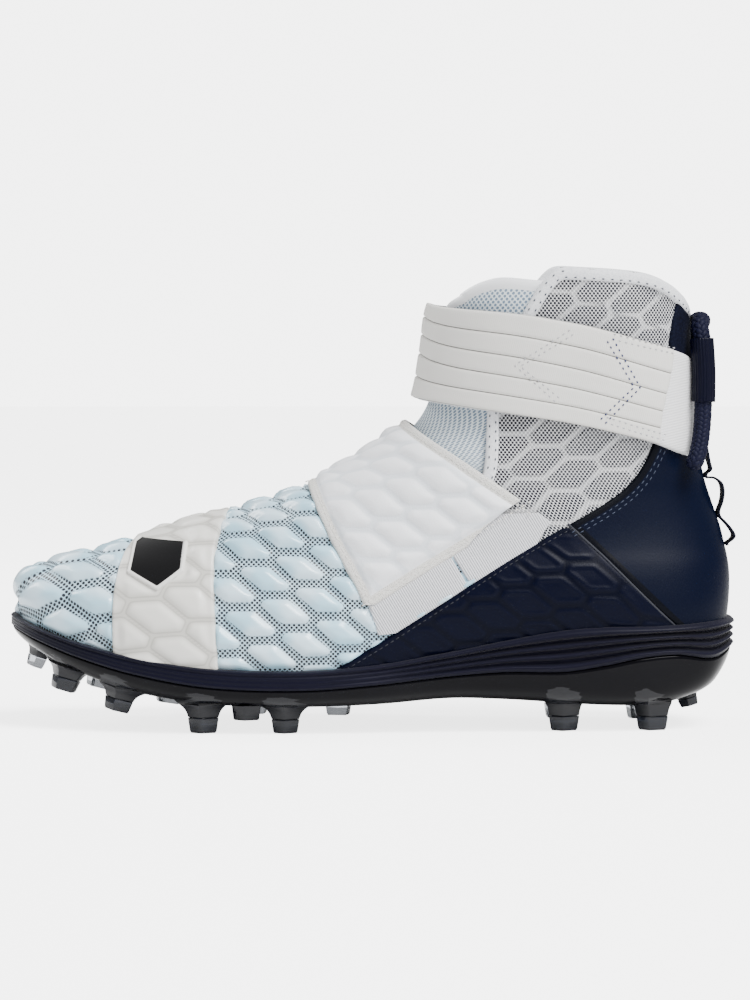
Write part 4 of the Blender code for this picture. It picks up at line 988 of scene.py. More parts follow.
# Heel counter.
# A smooth fused skin round the heel, over the mesh, with a dark knit strip above
# the ankle strap; two rows of pale stitches hold its front edge.
PANEL = 0.0014
SEAM = [(0.0458, -0.08), (0.231, 0.288)]
COUNTER_TOP = [(0.231, 0.288), (0.186, 0.335), (0.149, 0.390), (0.124, 0.463), (0.106, 0.562),
               (0.096, 0.661),
               (0.094, 0.770), (0.087, 0.858), (0.076, 0.946), (0.055, 1.100)]
EDGE_LINES = (0.00015, 0.0006, 0.0014)


def edged(seat, thickness):
    """The lift of a layer of cloth, from just under its seat at the edge to its full thickness."""
    return lambda edge: seat + thickness * np.interp(edge, (0, *EDGE_LINES), (-0.2, 0.62, 0.92, 1.0))


counter_outline = np.vstack([seen_from_side(SEAM, 1), seen_from_side(COUNTER_TOP)[1:],
                             seen_from_side([(-0.10, 1.10), (-0.10, -0.08)], 1)])
counter = cloth_piece("counter_skin", raised(
    trimmed(cloth(np.linspace(8.5, 27.5, 250), np.linspace(-0.6, 13, 130), round_the_leg),
            lambda p: depth_inside(counter_outline, p), EDGE_LINES), edged(GAP, PANEL)))

counter_finish, tree, shader = finish_named("navy_counter_finish", Specular_IOR_Level=0.07)
place = node(tree, "ShaderNodeTexCoord").outputs["Object"]
grained = node(tree, "ShaderNodeGroup", node_tree=GRAIN, Vector=place, Cloud_Scale=30.0, Grain_Scale=2200.0)
level = attribute(tree, "level").outputs["Fac"]
knit_part = ramped(tree, level, 11.35, 11.45)
edge = attribute(tree, "edge").outputs["Fac"]
border = maths(tree, "MULTIPLY", ramped(tree, edge, 0.0025, 0.0029, 1.0, 0.0),
               maths(tree, "SUBTRACT", 1.0, knit_part))
skin_tint = mixed(tree, grained.outputs["Cloud"], (0.0003, 0.0014, 0.0078, 1), (0.0006, 0.0020, 0.0096, 1))
skin_tint = mixed(tree, border, skin_tint, (0.0004, 0.0008, 0.0028, 1))
laid = attribute(tree, "laid").outputs["Vector"]
stitches = node(tree, "ShaderNodeGroup", node_tree=KNIT, Vector=laid, Stitch_Scale=950.0).outputs["Height"]
knit_tint = mixed(tree, stitches, (0.0030, 0.0042, 0.0130, 1), (0.0008, 0.0012, 0.0045, 1))
tree.links.new(mixed(tree, knit_part, skin_tint, knit_tint), shader.inputs["Base Color"])
tree.links.new(ramped(tree, knit_part, 0.0, 1.0, 0.42, 0.85), shader.inputs["Roughness"])
bumped(tree, shader, mixed(tree, knit_part, grained.outputs["Grain"], stitches), 0.22, 0.0003)
dress(counter, counter_finish, "navy_skin", "heel_counter")

GRID_COLUMNS, GRID_LEVELS = np.linspace(-HEEL_COLUMN, HEEL_COLUMN, 361), np.linspace(-1, 13, 141)
GRID_ROWS, GRID_OUT = skin(GRID_COLUMNS, GRID_LEVELS)


def placed(columns, levels, lift=0.0):
    """Points at pairs of column and level, moved out by a lift, and their outward directions."""
    columns = (np.asarray(columns, float) + HEEL_COLUMN) % (2 * HEEL_COLUMN) - HEEL_COLUMN
    c, r = (columns + HEEL_COLUMN) * 10, (np.clip(levels, -1, 13) + 1) * 10
    ci, ri = np.clip(c.astype(int), 0, 359), np.clip(r.astype(int), 0, 139)
    ct, rt = (c - ci)[..., None], (r - ri)[..., None]
    found = []
    for grid in (GRID_ROWS, GRID_OUT):
        found.append((grid[ri, ci] * (1 - ct) + grid[ri, ci + 1] * ct) * (1 - rt)
                     + (grid[ri + 1, ci] * (1 - ct) + grid[ri + 1, ci + 1] * ct) * rt)
    return found[0] + found[1] * np.asarray(lift)[..., None], found[1]


def traced(path):
    """The columns and levels of a line of the side view, on the lateral side, at even steps of 0.8 mm."""
    run = np.concatenate([[0], np.cumsum(np.linalg.norm(np.diff(path, axis=0), axis=1))])
    even = np.linspace(0, run[-1], max(2, int(run[-1] / 0.0008)))
    path = np.column_stack([np.interp(even, run, path[:, 0]), np.interp(even, run, path[:, 1])])
    flank = GRID_ROWS[:, 180:][..., [0, 2]]
    found = []
    for point in path:
        away = ((flank - point) ** 2).sum(2)
        r, c = np.unravel_index(np.argmin(away), away.shape)
        r, c = min(max(r, 1), 139), min(max(c, 1), 179)
        by_c, by_r = (flank[r, c + 1] - flank[r, c - 1]) / 2, (flank[r + 1, c] - flank[r - 1, c]) / 2
        step = np.linalg.lstsq(np.column_stack([by_c, by_r]), point - flank[r, c], rcond=0.05)[0]
        dc, dr = np.clip(step, -1, 1)
        found.append((GRID_COLUMNS[180 + c] + dc * 0.1, GRID_LEVELS[r] + dr * 0.1))
    return np.array(found).T


def beside(path, distance):
    """A line of the side view moved to its left by a distance."""
    along = np.gradient(path, axis=0)
    along /= np.linalg.norm(along, axis=1, keepdims=True)
    return path + np.column_stack([-along[:, 1], along[:, 0]]) * distance


def stitch_tree():
    """Lays thread stitches along lines: one low rounded bar at every pitch."""
    tree, start, ends = shape_tree("stitches",
                                   {"Pitch": "Float", "Length": "Float", "Width": "Float",
                                    "Finish": "Material"})
    lines = node(tree, "GeometryNodeMeshToCurve", Mesh=start.outputs["Geometry"])
    points = node(tree, "GeometryNodeCurveToPoints", mode="LENGTH", Curve=lines.outputs[0],
                  Length=start.outputs["Pitch"])
    bar = node(tree, "GeometryNodeMeshUVSphere", Segments=6, Rings=4, Radius=0.5)
    smooth = node(tree, "GeometryNodeSetShadeSmooth", Geometry=bar.outputs[0])
    size = node(tree, "ShaderNodeCombineXYZ", X=start.outputs["Width"], Y=start.outputs["Width"],
                Z=start.outputs["Length"])
    laid = node(tree, "GeometryNodeInstanceOnPoints", Points=points.outputs["Points"],
                Instance=smooth.outputs[0],
                Rotation=points.outputs["Rotation"], Scale=size.outputs[0])
    finish_tree(tree, ends, laid.outputs[0], start)
    return tree


STITCHES = stitch_tree()


def thread_finish(name, colour):
    finish, tree, shader = finish_named(name, Base_Color=colour, Roughness=0.6)
    return finish


def stitched(name, lines, pitch, length, width, finish, slot):
    """Stitches along several lines of points, each on the face of the piece they hold."""
    points, edges = [], []
    for line in lines:
        base = len(points)
        points += [tuple(Vector(p) + HEEL_BACK) for p in line]
        edges += [(base + i, base + i + 1) for i in range(len(line) - 1)]
    mesh = bpy.data.meshes.new(name)
    mesh.from_pydata(points, edges, [])
    piece = bpy.data.objects.new(name, mesh)
    bpy.context.scene.collection.objects.link(piece)
    shaped_by(piece, STITCHES, Pitch=pitch, Length=length, Width=width, Finish=finish)
    return dress(piece, finish, slot)


def on_both_sides(path, lift):
    columns, levels = traced(path)
    return [placed(columns, levels, lift)[0], placed(-columns, levels, lift)[0]]


pale_thread = thread_finish("pale_blue_thread_finish", (0.011, 0.018, 0.042, 1))
counter_front = seen_from_side(COUNTER_TOP[:6])
seam_line = seen_from_side([(0.086, 0.0), (0.231, 0.288)], 8)
stitched("counter_stitches",
         [line for away in (0.0034, 0.0052) for line in on_both_sides(beside(counter_front, away),
                                                                      GAP + PANEL)],
         0.0030, 0.0019, 0.00055, pale_thread, "ice_mesh")

# Side panels.
# A navy fused panel on each side, its outlines of scale pads raised, from the
# counter's seam to the arch; stitched along its top edge.
panel_finish, tree, shader = finish_named("navy_panel_finish", Roughness=0.36, Specular_IOR_Level=0.065)
place = node(tree, "ShaderNodeTexCoord").outputs["Object"]
grained = node(tree, "ShaderNodeGroup", node_tree=GRAIN, Vector=place, Cloud_Scale=36.0, Grain_Scale=2200.0)
pad = attribute(tree, "pad").outputs["Fac"]
panel_tint = mixed(tree, grained.outputs["Cloud"], (0.0004, 0.0009, 0.0050, 1), (0.0007, 0.0013, 0.0064, 1))
tree.links.new(mixed(tree, ramped(tree, pad, -0.0004, 0.0008), panel_tint, (0.0008, 0.0015, 0.0078, 1)),
               shader.inputs["Base Color"])
bumped(tree, shader, grained.outputs["Grain"], 0.18, 0.0003)
for side, name in ((1, "lateral"), (-1, "medial")):
    bm = trimmed(cloth(np.linspace(6.0, 17.0, 240) if side > 0 else np.linspace(-17.0, -6.0, 240),
                       np.linspace(-0.6, 5.2, 84)), lambda p: depth_inside(panel_outline, p), EDGE_LINES)
    mark_bare(bm,
              np.clip((np.array([v[bm.verts.layers.float["edge"]] for v in bm.verts]) - 0.0022) / 0.0030, 0,
                      1))
    panel = cloth_piece(f"side_panel_skin_{name}", raised(bm, edged(GAP, PANEL)))
    shaped_by(panel, SCALE_PADS, **SCALE_LATTICE, Gap=0.0016, Rise=0.0006, Ramp=0.0028, Roundness=2.2,
              Hollow=0.75,
              Finish=panel_finish)
    dress(panel, panel_finish, "navy_skin", f"side_panel_{name}")
navy_thread = thread_finish("navy_thread_finish", (0.0025, 0.0035, 0.0100, 1))
stitched("panel_stitches", on_both_sides(beside(seen_from_side(PANEL_TOP), -0.0020), GAP + PANEL),
         0.0026, 0.0017, 0.0005, navy_thread, "navy_rope")
seam_thread = thread_finish("seam_thread_finish", (0.0025, 0.0036, 0.0110, 1))
stitched("seam_piping", on_both_sides(beside(seam_line, -0.0001), GAP + PANEL * 0.7), 0.0006, 0.0016,
         0.0011, seam_thread, "navy_rope")

# Elastic gores.
# Two ribbed elastic pieces on each side, sewn between the instep strap and the
# side panel.
GORE = 0.0012
GORE_SPLIT = 0.49
strap_low = seen_from_side([STRAP_FRONT[-1], STRAP_REAR[0]], 1)
gore_low = seen_from_side(GORE_LOW, 1) - np.array([0.0, 0.0022])
split = strap_low[0] + (strap_low[1] - strap_low[0]) * GORE_SPLIT
tucked = np.array([0.0, 0.0040])
up_the_edge = seen_from_side(STRAP_REAR[:2], 1)[1] - strap_low[1]
up_the_edge *= 0.014 / np.linalg.norm(up_the_edge)
split_gap = np.array([0.0003, 0.0])
gore_outlines = {
    "front": np.array([strap_low[0] + tucked, split + split_gap + tucked, gore_low[2], gore_low[3]]),
    "rear": np.array([split - split_gap + tucked, strap_low[1] + up_the_edge, strap_low[1], gore_low[0],
                      gore_low[1]]),
}


def ribbing_group():
    """Parallel ribs at a pitch along a direction, for elastic webbing."""
    group = bpy.data.node_groups.new("ribbing", "ShaderNodeTree")
    for label in ("Vector", "Direction"):
        group.interface.new_socket(label, in_out="INPUT", socket_type="NodeSocketVector")
    group.interface.new_socket("Pitch", in_out="INPUT", socket_type="NodeSocketFloat").default_value = 0.001
    group.interface.new_socket("Rib", in_out="OUTPUT", socket_type="NodeSocketFloat")
    start, ends = group.nodes.new("NodeGroupInput"), group.nodes.new("NodeGroupOutput")
    along = vector_maths(group, "DOT_PRODUCT", start.outputs["Vector"], start.outputs["Direction"])
    turns = maths(group, "DIVIDE", along, start.outputs["Pitch"])
    wave = maths(group, "SINE", maths(group, "MULTIPLY", turns, 2 * math.pi))
    group.links.new(maths(group, "MULTIPLY_ADD", wave, 0.5, 0.5), ends.inputs["Rib"])
    return group


RIBBING = ribbing_group()
low_run = strap_low[1] - strap_low[0]
low_run /= np.linalg.norm(low_run)
gore_finish, tree, shader = finish_named("white_elastic_finish", Roughness=0.85)
place = node(tree, "ShaderNodeTexCoord").outputs["Object"]
rib = node(tree, "ShaderNodeGroup", node_tree=RIBBING, Vector=place, Direction=(low_run[0], 0, low_run[1]),
           Pitch=0.00095).outputs["Rib"]
# Painted shade: the white elastic is darker in the valleys between its ribs.
tree.links.new(mixed(tree, rib, (0.38, 0.39, 0.42, 1), (0.68, 0.68, 0.70, 1)), shader.inputs["Base Color"])
bumped(tree, shader, rib, 0.8, 0.0004)
for name, outline in gore_outlines.items():
    for side, where in (("lateral", np.linspace(5.5, 13.0, 110)),
                        ("medial", np.linspace(-13.0, -5.5, 110))):
        gore = cloth_piece(f"elastic_gore_{name}_{side}", raised(
            trimmed(cloth(where, np.linspace(1.0, 6.0, 56)), lambda p,
                    outline=outline: depth_inside(outline, p), EDGE_LINES),
            edged(GAP, GORE)))
        dress(gore, gore_finish, "white_elastic", f"gore_{name}_{side}")

# Instep strap.
# A broad padded strap over the instep, quilted in soft pads, with a stitched
# tape border; its ends are sewn to the gores.
INSTEP_STRAP = 0.0034
TAPE_BORDER = 0.0040
strap_lines = (0.0002, 0.0007, 0.0014, TAPE_BORDER, TAPE_BORDER + 0.0005, TAPE_BORDER + 0.0015,
               TAPE_BORDER + 0.003)
bm = trimmed(cloth(np.linspace(-11.5, 11.5, 330), np.linspace(2.0, 10.0, 130)),
             lambda p: depth_inside(strap_outline, p), strap_lines)
edges = np.array([v[bm.verts.layers.float["edge"]] for v in bm.verts])
mark_bare(bm, np.clip((edges - TAPE_BORDER - 0.001) / 0.004, 0, 1))
strap_lift = lambda edge: GAP + INSTEP_STRAP * np.interp(edge, (0, *strap_lines),
                                                         (0.05, 0.40, 0.55, 0.60, 0.56, 0.66, 0.86, 0.94))
strap = cloth_piece("instep_strap_padding", raised(bm, strap_lift))
strap_finish, tree, shader = finish_named("white_strap_finish")
laid = attribute(tree, "laid").outputs["Vector"]
edge = attribute(tree, "edge").outputs["Fac"]
pad = attribute(tree, "pad").outputs["Fac"]
on_tape = ramped(tree, edge, TAPE_BORDER - 0.0002, TAPE_BORDER + 0.0002, 1.0, 0.0)
speckle = node(tree, "ShaderNodeTexNoise", Vector=laid, Scale=2300.0, Detail=1.0).outputs["Fac"]
tape_tint = mixed(tree, ramped(tree, speckle, 0.52, 0.62), (0.60, 0.59, 0.56, 1), (0.30, 0.29, 0.28, 1))
# Painted shade: the padding is darker and bluer in the recessed gaps between the quilted pads.
shaded_padding = mixed(tree, ramped(tree, pad, -0.0003, 0.0010), (0.60, 0.63, 0.67, 1), (0.72, 0.73, 0.76, 1))
tree.links.new(mixed(tree, on_tape, shaded_padding, tape_tint), shader.inputs["Base Color"])
tree.links.new(ramped(tree, on_tape, 0.0, 1.0, 0.55, 0.8), shader.inputs["Roughness"])
weave = node(tree, "ShaderNodeGroup", node_tree=KNIT, Vector=laid, Stitch_Scale=1500.0).outputs["Height"]
bumped(tree, shader, weave, 0.25, 0.0003)
shaped_by(strap, SCALE_PADS, **SCALE_LATTICE, Gap=0.0022, Rise=0.0014, Ramp=0.0045, Roundness=2.0,
          Hollow=0.0, Finish=strap_finish)
dress(strap, strap_finish, "white_skin", "instep_strap")
cream_thread = thread_finish("cream_thread_finish", (0.62, 0.60, 0.56, 1))
strap_edges = [beside(seen_from_side(STRAP_FRONT), -0.0026), beside(seen_from_side(STRAP_REAR), -0.0026),
               beside(strap_low, -0.0026)]
stitched("strap_stitches",
         [line for path in strap_edges for line in on_both_sides(path, GAP + INSTEP_STRAP * 0.60)],
         0.0029, 0.0018, 0.0005, cream_thread, "cream_elastic")

# Forefoot band.
# A cream fused band over the ball of the foot, embossed with the same pads; a
# plain gloss badge with a raised rim is set into its lateral side.
BAND = 0.0020
bm = trimmed(cloth(np.linspace(-10.0, 10.0, 400), np.linspace(-0.6, 7.2, 120)),
             lambda p: depth_inside(band_outline, p), EDGE_LINES)
edges = np.array([v[bm.verts.layers.float["edge"]] for v in bm.verts])
BADGE_OUTLINE = [(0.833, 0.200), (0.826, 0.275), (0.790, 0.330), (0.748, 0.300), (0.755, 0.225),
                 (0.790, 0.172)]
badge_outline = seen_from_side([*BADGE_OUTLINE, BADGE_OUTLINE[0]], 1)[:-1]
points = np.array([v.co for v in bm.verts])
by_badge = np.where(points[:, 1] > points[:, 1].mean(), depth_inside(badge_outline, points), -1.0)
mark_bare(bm, np.clip((edges - 0.0030) / 0.0030, 0, 1) * np.clip((-by_badge - 0.0015) / 0.0015, 0, 1))
band = cloth_piece("forefoot_band_skin", raised(bm, edged(GAP, BAND)))
band_finish, tree, shader = finish_named("cream_band_finish", Roughness=0.42, Coat_Weight=0.1)
laid = attribute(tree, "laid").outputs["Vector"]
pad = attribute(tree, "pad").outputs["Fac"]
# Painted shade: a dark line at the foot of the embossed pads, in the creases between them.
line = maths(tree, "MULTIPLY",
             ramped(tree, maths(tree, "ABSOLUTE", maths(tree, "ADD", pad, 0.0002)), 0.0001, 0.0004, 1.0,
                    0.0), 0.5)
# Painted shade: the cream is darker in the low gaps and lighter on the raised pads.
cream = mixed(tree, ramped(tree, pad, -0.0004, 0.002), (0.50, 0.49, 0.45, 1), (0.66, 0.65, 0.61, 1))
tree.links.new(mixed(tree, line, cream, (0.30, 0.29, 0.27, 1)), shader.inputs["Base Color"])
grained = node(tree, "ShaderNodeGroup", node_tree=GRAIN, Vector=laid, Cloud_Scale=30.0, Grain_Scale=2000.0)
bumped(tree, shader, grained.outputs["Grain"], 0.15, 0.0003)
shaped_by(band, SCALE_PADS, **SCALE_LATTICE, Gap=0.0018, Rise=0.0012, Ramp=0.0031, Roundness=1.45,
          Hollow=0.0, Finish=band_finish)
dress(band, band_finish, "cream_skin", "forefoot_band")

BADGE = 0.0012
badge_lift = lambda edge: GAP + BAND + BADGE * np.interp(edge, (0, 0.0003, 0.0010, 0.0014, 0.0020),
                                                         (-0.3, 0.8, 1.0, 0.7, 0.55))
badge = cloth_piece("band_badge_plate", raised(
    trimmed(cloth(np.linspace(1.0, 8.0, 170), np.linspace(0.4, 4.5, 90)),
            lambda p: depth_inside(badge_outline, p),
            (0.0003, 0.0010, 0.0014, 0.0020)), badge_lift))
badge_finish, tree, shader = finish_named("badge_finish")
edge = attribute(tree, "edge").outputs["Fac"]
inner_part = ramped(tree, edge, 0.0013, 0.0016)
tree.links.new(mixed(tree, inner_part, (0.66, 0.65, 0.62, 1), (0.001, 0.001, 0.0015, 1)),
               shader.inputs["Base Color"])
tree.links.new(ramped(tree, inner_part, 0.0, 1.0, 0.42, 0.10), shader.inputs["Roughness"])
dress(badge, badge_finish, "black_gloss", "band_badge")

# Throat and collar binding.
# White padded tape folded over the edge of the throat and right round the
# collar, with one row of stitches.
THROAT_EDGE = THROAT[1:9]
throat_columns, throat_levels = traced(seen_from_side(THROAT_EDGE)[::-1])
rim_columns = np.arange(throat_columns[-1] + 0.35, HEEL_COLUMN, 0.08)
half_columns = np.concatenate([throat_columns, rim_columns])
half_levels = np.concatenate([throat_levels, np.full(len(rim_columns), 12.98)])
route_columns = np.concatenate([half_columns, [HEEL_COLUMN], 2 * HEEL_COLUMN - half_columns[::-1]])
route_levels = np.concatenate([half_levels, [12.98], half_levels[::-1]])


def eased_path(points, times):
    for _ in range(times):
        points[1:-1] = (points[:-2] + points[1:-1] * 2 + points[2:]) / 4
    return points


def swept(name, points, outs, section, closed=True):
    """A tape whose section, in steps across and out, is carried along a line on the shoe."""
    along = np.gradient(points, axis=0)
    along /= np.linalg.norm(along, axis=1, keepdims=True)
    across = np.cross(along, outs)
    across /= np.linalg.norm(across, axis=1, keepdims=True)
    rows = [[p + s * u + o * v for u, v in part] for p, s, o, part in zip(points, across, outs, section)]
    return facing_out(lofted(name, rows, closed=closed))


middle, outs = placed(route_columns, route_levels)
middle = eased_path(middle, 12)
outs = eased_path(outs, 6)
outs /= np.linalg.norm(outs, axis=1, keepdims=True)
behind = np.clip((np.minimum(route_columns, 2 * HEEL_COLUMN - route_columns) - 12.0) / 1.5, 0, 1)
TAPE_SECTION = [(0.0044, -0.0001), (0.0043, 0.0006), (0.0034, 0.0009), (0.0014, 0.0010), (0.0000, 0.0007),
                (-0.0007, -0.0001),
                (-0.0009, -0.0012), (-0.0006, -0.0023), (0.0006, -0.0030), (0.0028, -0.0033),
                (0.0041, -0.0030), (0.0043, -0.0022)]
sections = [[(u, v + (0.0012 * share if v > 0.0003 else 0)) for u, v in TAPE_SECTION] for share in behind]
binding = swept("collar_binding_tape", middle, outs, sections)
binding_finish, tree, shader = finish_named("white_binding_finish", Roughness=0.7)
place = node(tree, "ShaderNodeTexCoord").outputs["Object"]
weave = node(tree, "ShaderNodeGroup", node_tree=KNIT, Vector=place, Stitch_Scale=1500.0).outputs["Height"]
tree.links.new(mixed(tree, weave, (0.74, 0.75, 0.76, 1), (0.55, 0.56, 0.60, 1)),
               shader.inputs["Base Color"])
bumped(tree, shader, weave, 0.3, 0.0003)
dress(binding, binding_finish, "white_skin", "throat_binding_lateral", "throat_binding_medial")
grey_thread = thread_finish("grey_thread_finish", (0.030, 0.036, 0.055, 1))
along = np.gradient(middle, axis=0)
along /= np.linalg.norm(along, axis=1, keepdims=True)
inward = np.cross(along, outs)
inward /= np.linalg.norm(inward, axis=1, keepdims=True)
tape_lift = 0.00095 + 0.0012 * behind[:, None]
stitched("binding_stitches", [middle + inward * away + outs * tape_lift for away in (0.0034,)], 0.0038,
         0.0012, 0.0007,
         grey_thread, "navy_webbing")
throat_part = slice(0, len(throat_columns))
stitched("throat_stitches", [(middle + inward * 0.0008 + outs * 0.0009)[throat_part],
                             (middle + inward * 0.0008 + outs * 0.0009)[::-1][throat_part]],
         0.0042, 0.0012, 0.0007, grey_thread, "navy_webbing")

# Ankle strap.
# A flat elastic strap right round the shaft; over its front and sides lies a
# ribbed cream layer, folded at the front and held by stitches.
ANKLE_STRAP = 0.0020
RIBBED_END = 0.0012
ANKLE_STRAP_TOP = [(0.48, 0.905), (0.415, 0.892), (0.307, 0.872), (0.239, 0.848), (0.183, 0.822),
                   (0.090, 0.762), (0.059, 0.726), (0.000, 0.690)]
ANKLE_STRAP_BOTTOM = [(0.48, 0.665), (0.437, 0.650), (0.322, 0.606), (0.214, 0.560), (0.122, 0.510),
                      (0.069, 0.465), (0.000, 0.430)]
RIBBED_END_REAR = [(0.097, 0.90), (0.097, 0.734), (0.111, 0.565), (0.114, 0.38)]


def meeting_levels(columns, line):
    """The level where each column of the shaft meets a line of the side view."""
    line = line[np.argsort(line[:, 0])]
    tried = np.linspace(7, 12.9, 240)
    found = []
    for column in columns:
        points, _ = placed(np.full(len(tried), column), tried)
        above = points[:, 2] - np.interp(points[:, 0], line[:, 0], line[:, 1])
        found.append(np.interp(0, above, tried) if above[0] < 0 else tried[0])
    return np.array(found)


strap_columns = np.linspace(-HEEL_COLUMN, HEEL_COLUMN, 217)
top_levels = meeting_levels(strap_columns, seen_from_side(ANKLE_STRAP_TOP))
low_levels = meeting_levels(strap_columns, seen_from_side(ANKLE_STRAP_BOTTOM))


def strap_point(columns, up, lift):
    top, low = np.interp(columns, strap_columns, top_levels), np.interp(columns, strap_columns, low_levels)
    return placed(columns, low + (top - low) * up, lift)[0]


seat = 2 * GAP + PANEL
rows = []
for up, lift in ((0.000, seat - 0.0004), (0.002, seat + 0.0012), (0.010, seat + 0.0018),
                 (0.03, seat + ANKLE_STRAP),
                 *((up, seat + ANKLE_STRAP) for up in np.linspace(0.08, 0.92, 20)),
                 (0.97, seat + ANKLE_STRAP), (0.990, seat + 0.0018), (0.998, seat + 0.0012),
                 (1.000, seat - 0.0004)):
    rows.append(strap_point(strap_columns[:-1], up, np.full(len(strap_columns) - 1, lift)))
ankle_strap = lofted("ankle_strap_elastic", rows)
elastic_finish, tree, shader = finish_named("plain_strap_finish", Roughness=0.8)
place = node(tree, "ShaderNodeTexCoord").outputs["Object"]
rib = node(tree, "ShaderNodeGroup", node_tree=RIBBING, Vector=place, Direction=(0.20, 0, 0.98),
           Pitch=0.0011).outputs["Rib"]
# Painted shade: the strap is a little darker in the valleys between its ribs.
tree.links.new(mixed(tree, rib, (0.60, 0.60, 0.61, 1), (0.70, 0.70, 0.71, 1)), shader.inputs["Base Color"])
bumped(tree, shader, rib, 0.3, 0.0003)
dress(ankle_strap, elastic_finish, "white_elastic", "ankle_strap")

RIBS = 5
end_line = seen_from_side(RIBBED_END_REAR)
end_line = end_line[np.argsort(end_line[:, 1])]
tried = np.linspace(9.0, 17.5, 300)
seat += ANKLE_STRAP + GAP
ups = sorted({round(share, 4) for rib in range(RIBS) for share in (rib + np.array(
    [0.0, 0.03, 0.08, 0.18, 0.35, 0.5, 0.65, 0.82, 0.92, 0.97, 1.0])) / RIBS})
rows, grooves = [], []
for up in ups:
    points = strap_point(tried, up, np.zeros(len(tried)))
    reach = np.interp(0, np.interp(points[:, 2], end_line[:, 1], end_line[:, 0]) - points[:, 0], tried)
    across = np.concatenate([[-1.0, -0.9985, -0.995], np.linspace(-0.985, 0.985, 190),
                             [0.995, 0.9985, 1.0]])
    in_rib = (up * RIBS) % 1.0
    dome = 1 - abs(2 * in_rib - 1) ** 14
    # How deep each row lies in a groove between ribs, kept on the mesh for painted shade.
    grooves += [1 - dome] * (len(across))
    lift = seat + RIBBED_END * (0.25 + 0.85 * dome)
    lifts = np.full(len(across), lift)
    if up in (0.0, 1.0):
        lifts = np.full(len(across), seat - 0.0006)
    lifts[[0, -1]] = seat - 0.0004
    lifts[[1, -2]] = seat + (lift - seat) * 0.6
    rows.append(strap_point(across * reach, up, lifts))
ribbed_end = lofted("ankle_strap_ribbed_layer", rows, closed=False)
ribbed_end.data.attributes.new("groove_shade", "FLOAT", "POINT").data.foreach_set("value", grooves)
ribbed_finish, tree, shader = finish_named("ribbed_cream_finish", Roughness=0.75)
place = node(tree, "ShaderNodeTexCoord").outputs["Object"]
rib = node(tree, "ShaderNodeGroup", node_tree=RIBBING, Vector=place, Direction=(0.97, 0, -0.22),
           Pitch=0.0008).outputs["Rib"]
cloud = node(tree, "ShaderNodeGroup", node_tree=GRAIN, Vector=place, Cloud_Scale=60.0).outputs["Cloud"]
cream = mixed(tree, cloud, (0.56, 0.55, 0.52, 1), (0.63, 0.62, 0.59, 1))
cream = mixed(tree, maths(tree, "MULTIPLY", rib, 0.25), cream, (0.60, 0.59, 0.57, 1))
# Painted shade: the cream is darkened in the grooves between the ribs.
shade = ramped(tree, attribute(tree, "groove_shade").outputs["Fac"], 0.35, 1.0)
tree.links.new(mixed(tree, shade, cream, (0.13, 0.125, 0.115, 1)), shader.inputs["Base Color"])
bumped(tree, shader, rib, 0.25, 0.0002)
dress(ribbed_end, ribbed_finish, "cream_elastic", "ankle_strap_ribbed_end")
CHEVRON = np.array([(0.0523, 0.1614), (0.0419, 0.1415), (0.0552, 0.1274)])
INNER_CHEVRON = np.array([(0.0695, 0.1650), (0.0905, 0.1505), (0.0755, 0.1360)])
END_ROWS = [np.array([(0.0523, 0.1614), (0.0300, 0.1555)]), np.array([(0.0552, 0.1274), (0.0330, 0.1200)])]
on_ribs = seat + RIBBED_END * 1.1
fold_thread = thread_finish("blue_thread_finish", (0.020, 0.026, 0.085, 1))
stitched("chevron_stitches",
         [line for away in (0.0, 0.0024) for line in on_both_sides(beside(CHEVRON, away), on_ribs)[:1]],
         0.0025, 0.0012, 0.0008, fold_thread, "navy_webbing")
pale_fold = thread_finish("strap_thread_finish", (0.34, 0.34, 0.36, 1))
stitched("strap_end_stitches", [line for path in [*END_ROWS, INNER_CHEVRON] for away in (0.0, -0.0022)
                                for line in on_both_sides(beside(path, away), on_ribs)[:1]],
         0.0026, 0.0012, 0.0006, pale_fold, "cream_elastic")

# Pull rope.
# Navy cord braided from sixteen strands, in an upturned U over the heel; its
# legs run down outside the ankle strap through two moulded tube sleeves.
ROPE_RADIUS = 0.0039
SLEEVE_WALL = 0.0006
ROPE_COLUMN = HEEL_COLUMN - 2
ROPE_SEAT = 2 * GAP + PANEL + ROPE_RADIUS
ROPE_OVER_STRAP = ROPE_SEAT + ANKLE_STRAP + 2 * GAP + SLEEVE_WALL
# columns towards the heel, level, share of the way out, sleeved
ROPE_ROUTE = [(0.0, 7.83, 0.5, 0), (0.0, 8.15, 1.0, 0), (0.0, 8.80, 1.0, 0), (0.0, 9.60, 1.0, 0),
              (0.0, 10.43, 1.0, 1),
              (0.0, 11.30, 1.0, 1), (0.0, 12.10, 0.8, 1), (0.2, 12.42, 0.4, 0), (0.8, 12.58, 0.3, 0),
              (2.0, 12.64, 0.2, 0)]


def smooth_through(points, steps):
    padded = np.vstack([points[:1], points, points[-1:]])
    t = np.linspace(0, 1, steps, endpoint=False)[:, None]
    path = [0.5 * (2 * p1 + (p2 - p0) * t + (2 * p0 - 5 * p1 + 4 * p2 - p3) * t**2
                   + (3 * p1 - p0 - 3 * p2 + p3) * t**3)
            for p0, p1, p2, p3 in zip(padded, padded[1:], padded[2:], padded[3:])]
    return np.vstack([*path, points[-1:]])


half = [(ROPE_COLUMN + columns, level, ROPE_SEAT + (ROPE_OVER_STRAP - ROPE_SEAT) * out) for columns, level,
        out, _ in ROPE_ROUTE]
whole = np.array(half + [(2 * HEEL_COLUMN - column, level, offset) for column, level,
                         offset in half[-2::-1]])
route_points = placed(whole[:, 0], whole[:, 1], whole[:, 2])[0]
route = smooth_through(route_points, 24)
run = np.concatenate([[0], np.cumsum(np.linalg.norm(np.diff(route, axis=0), axis=1))])


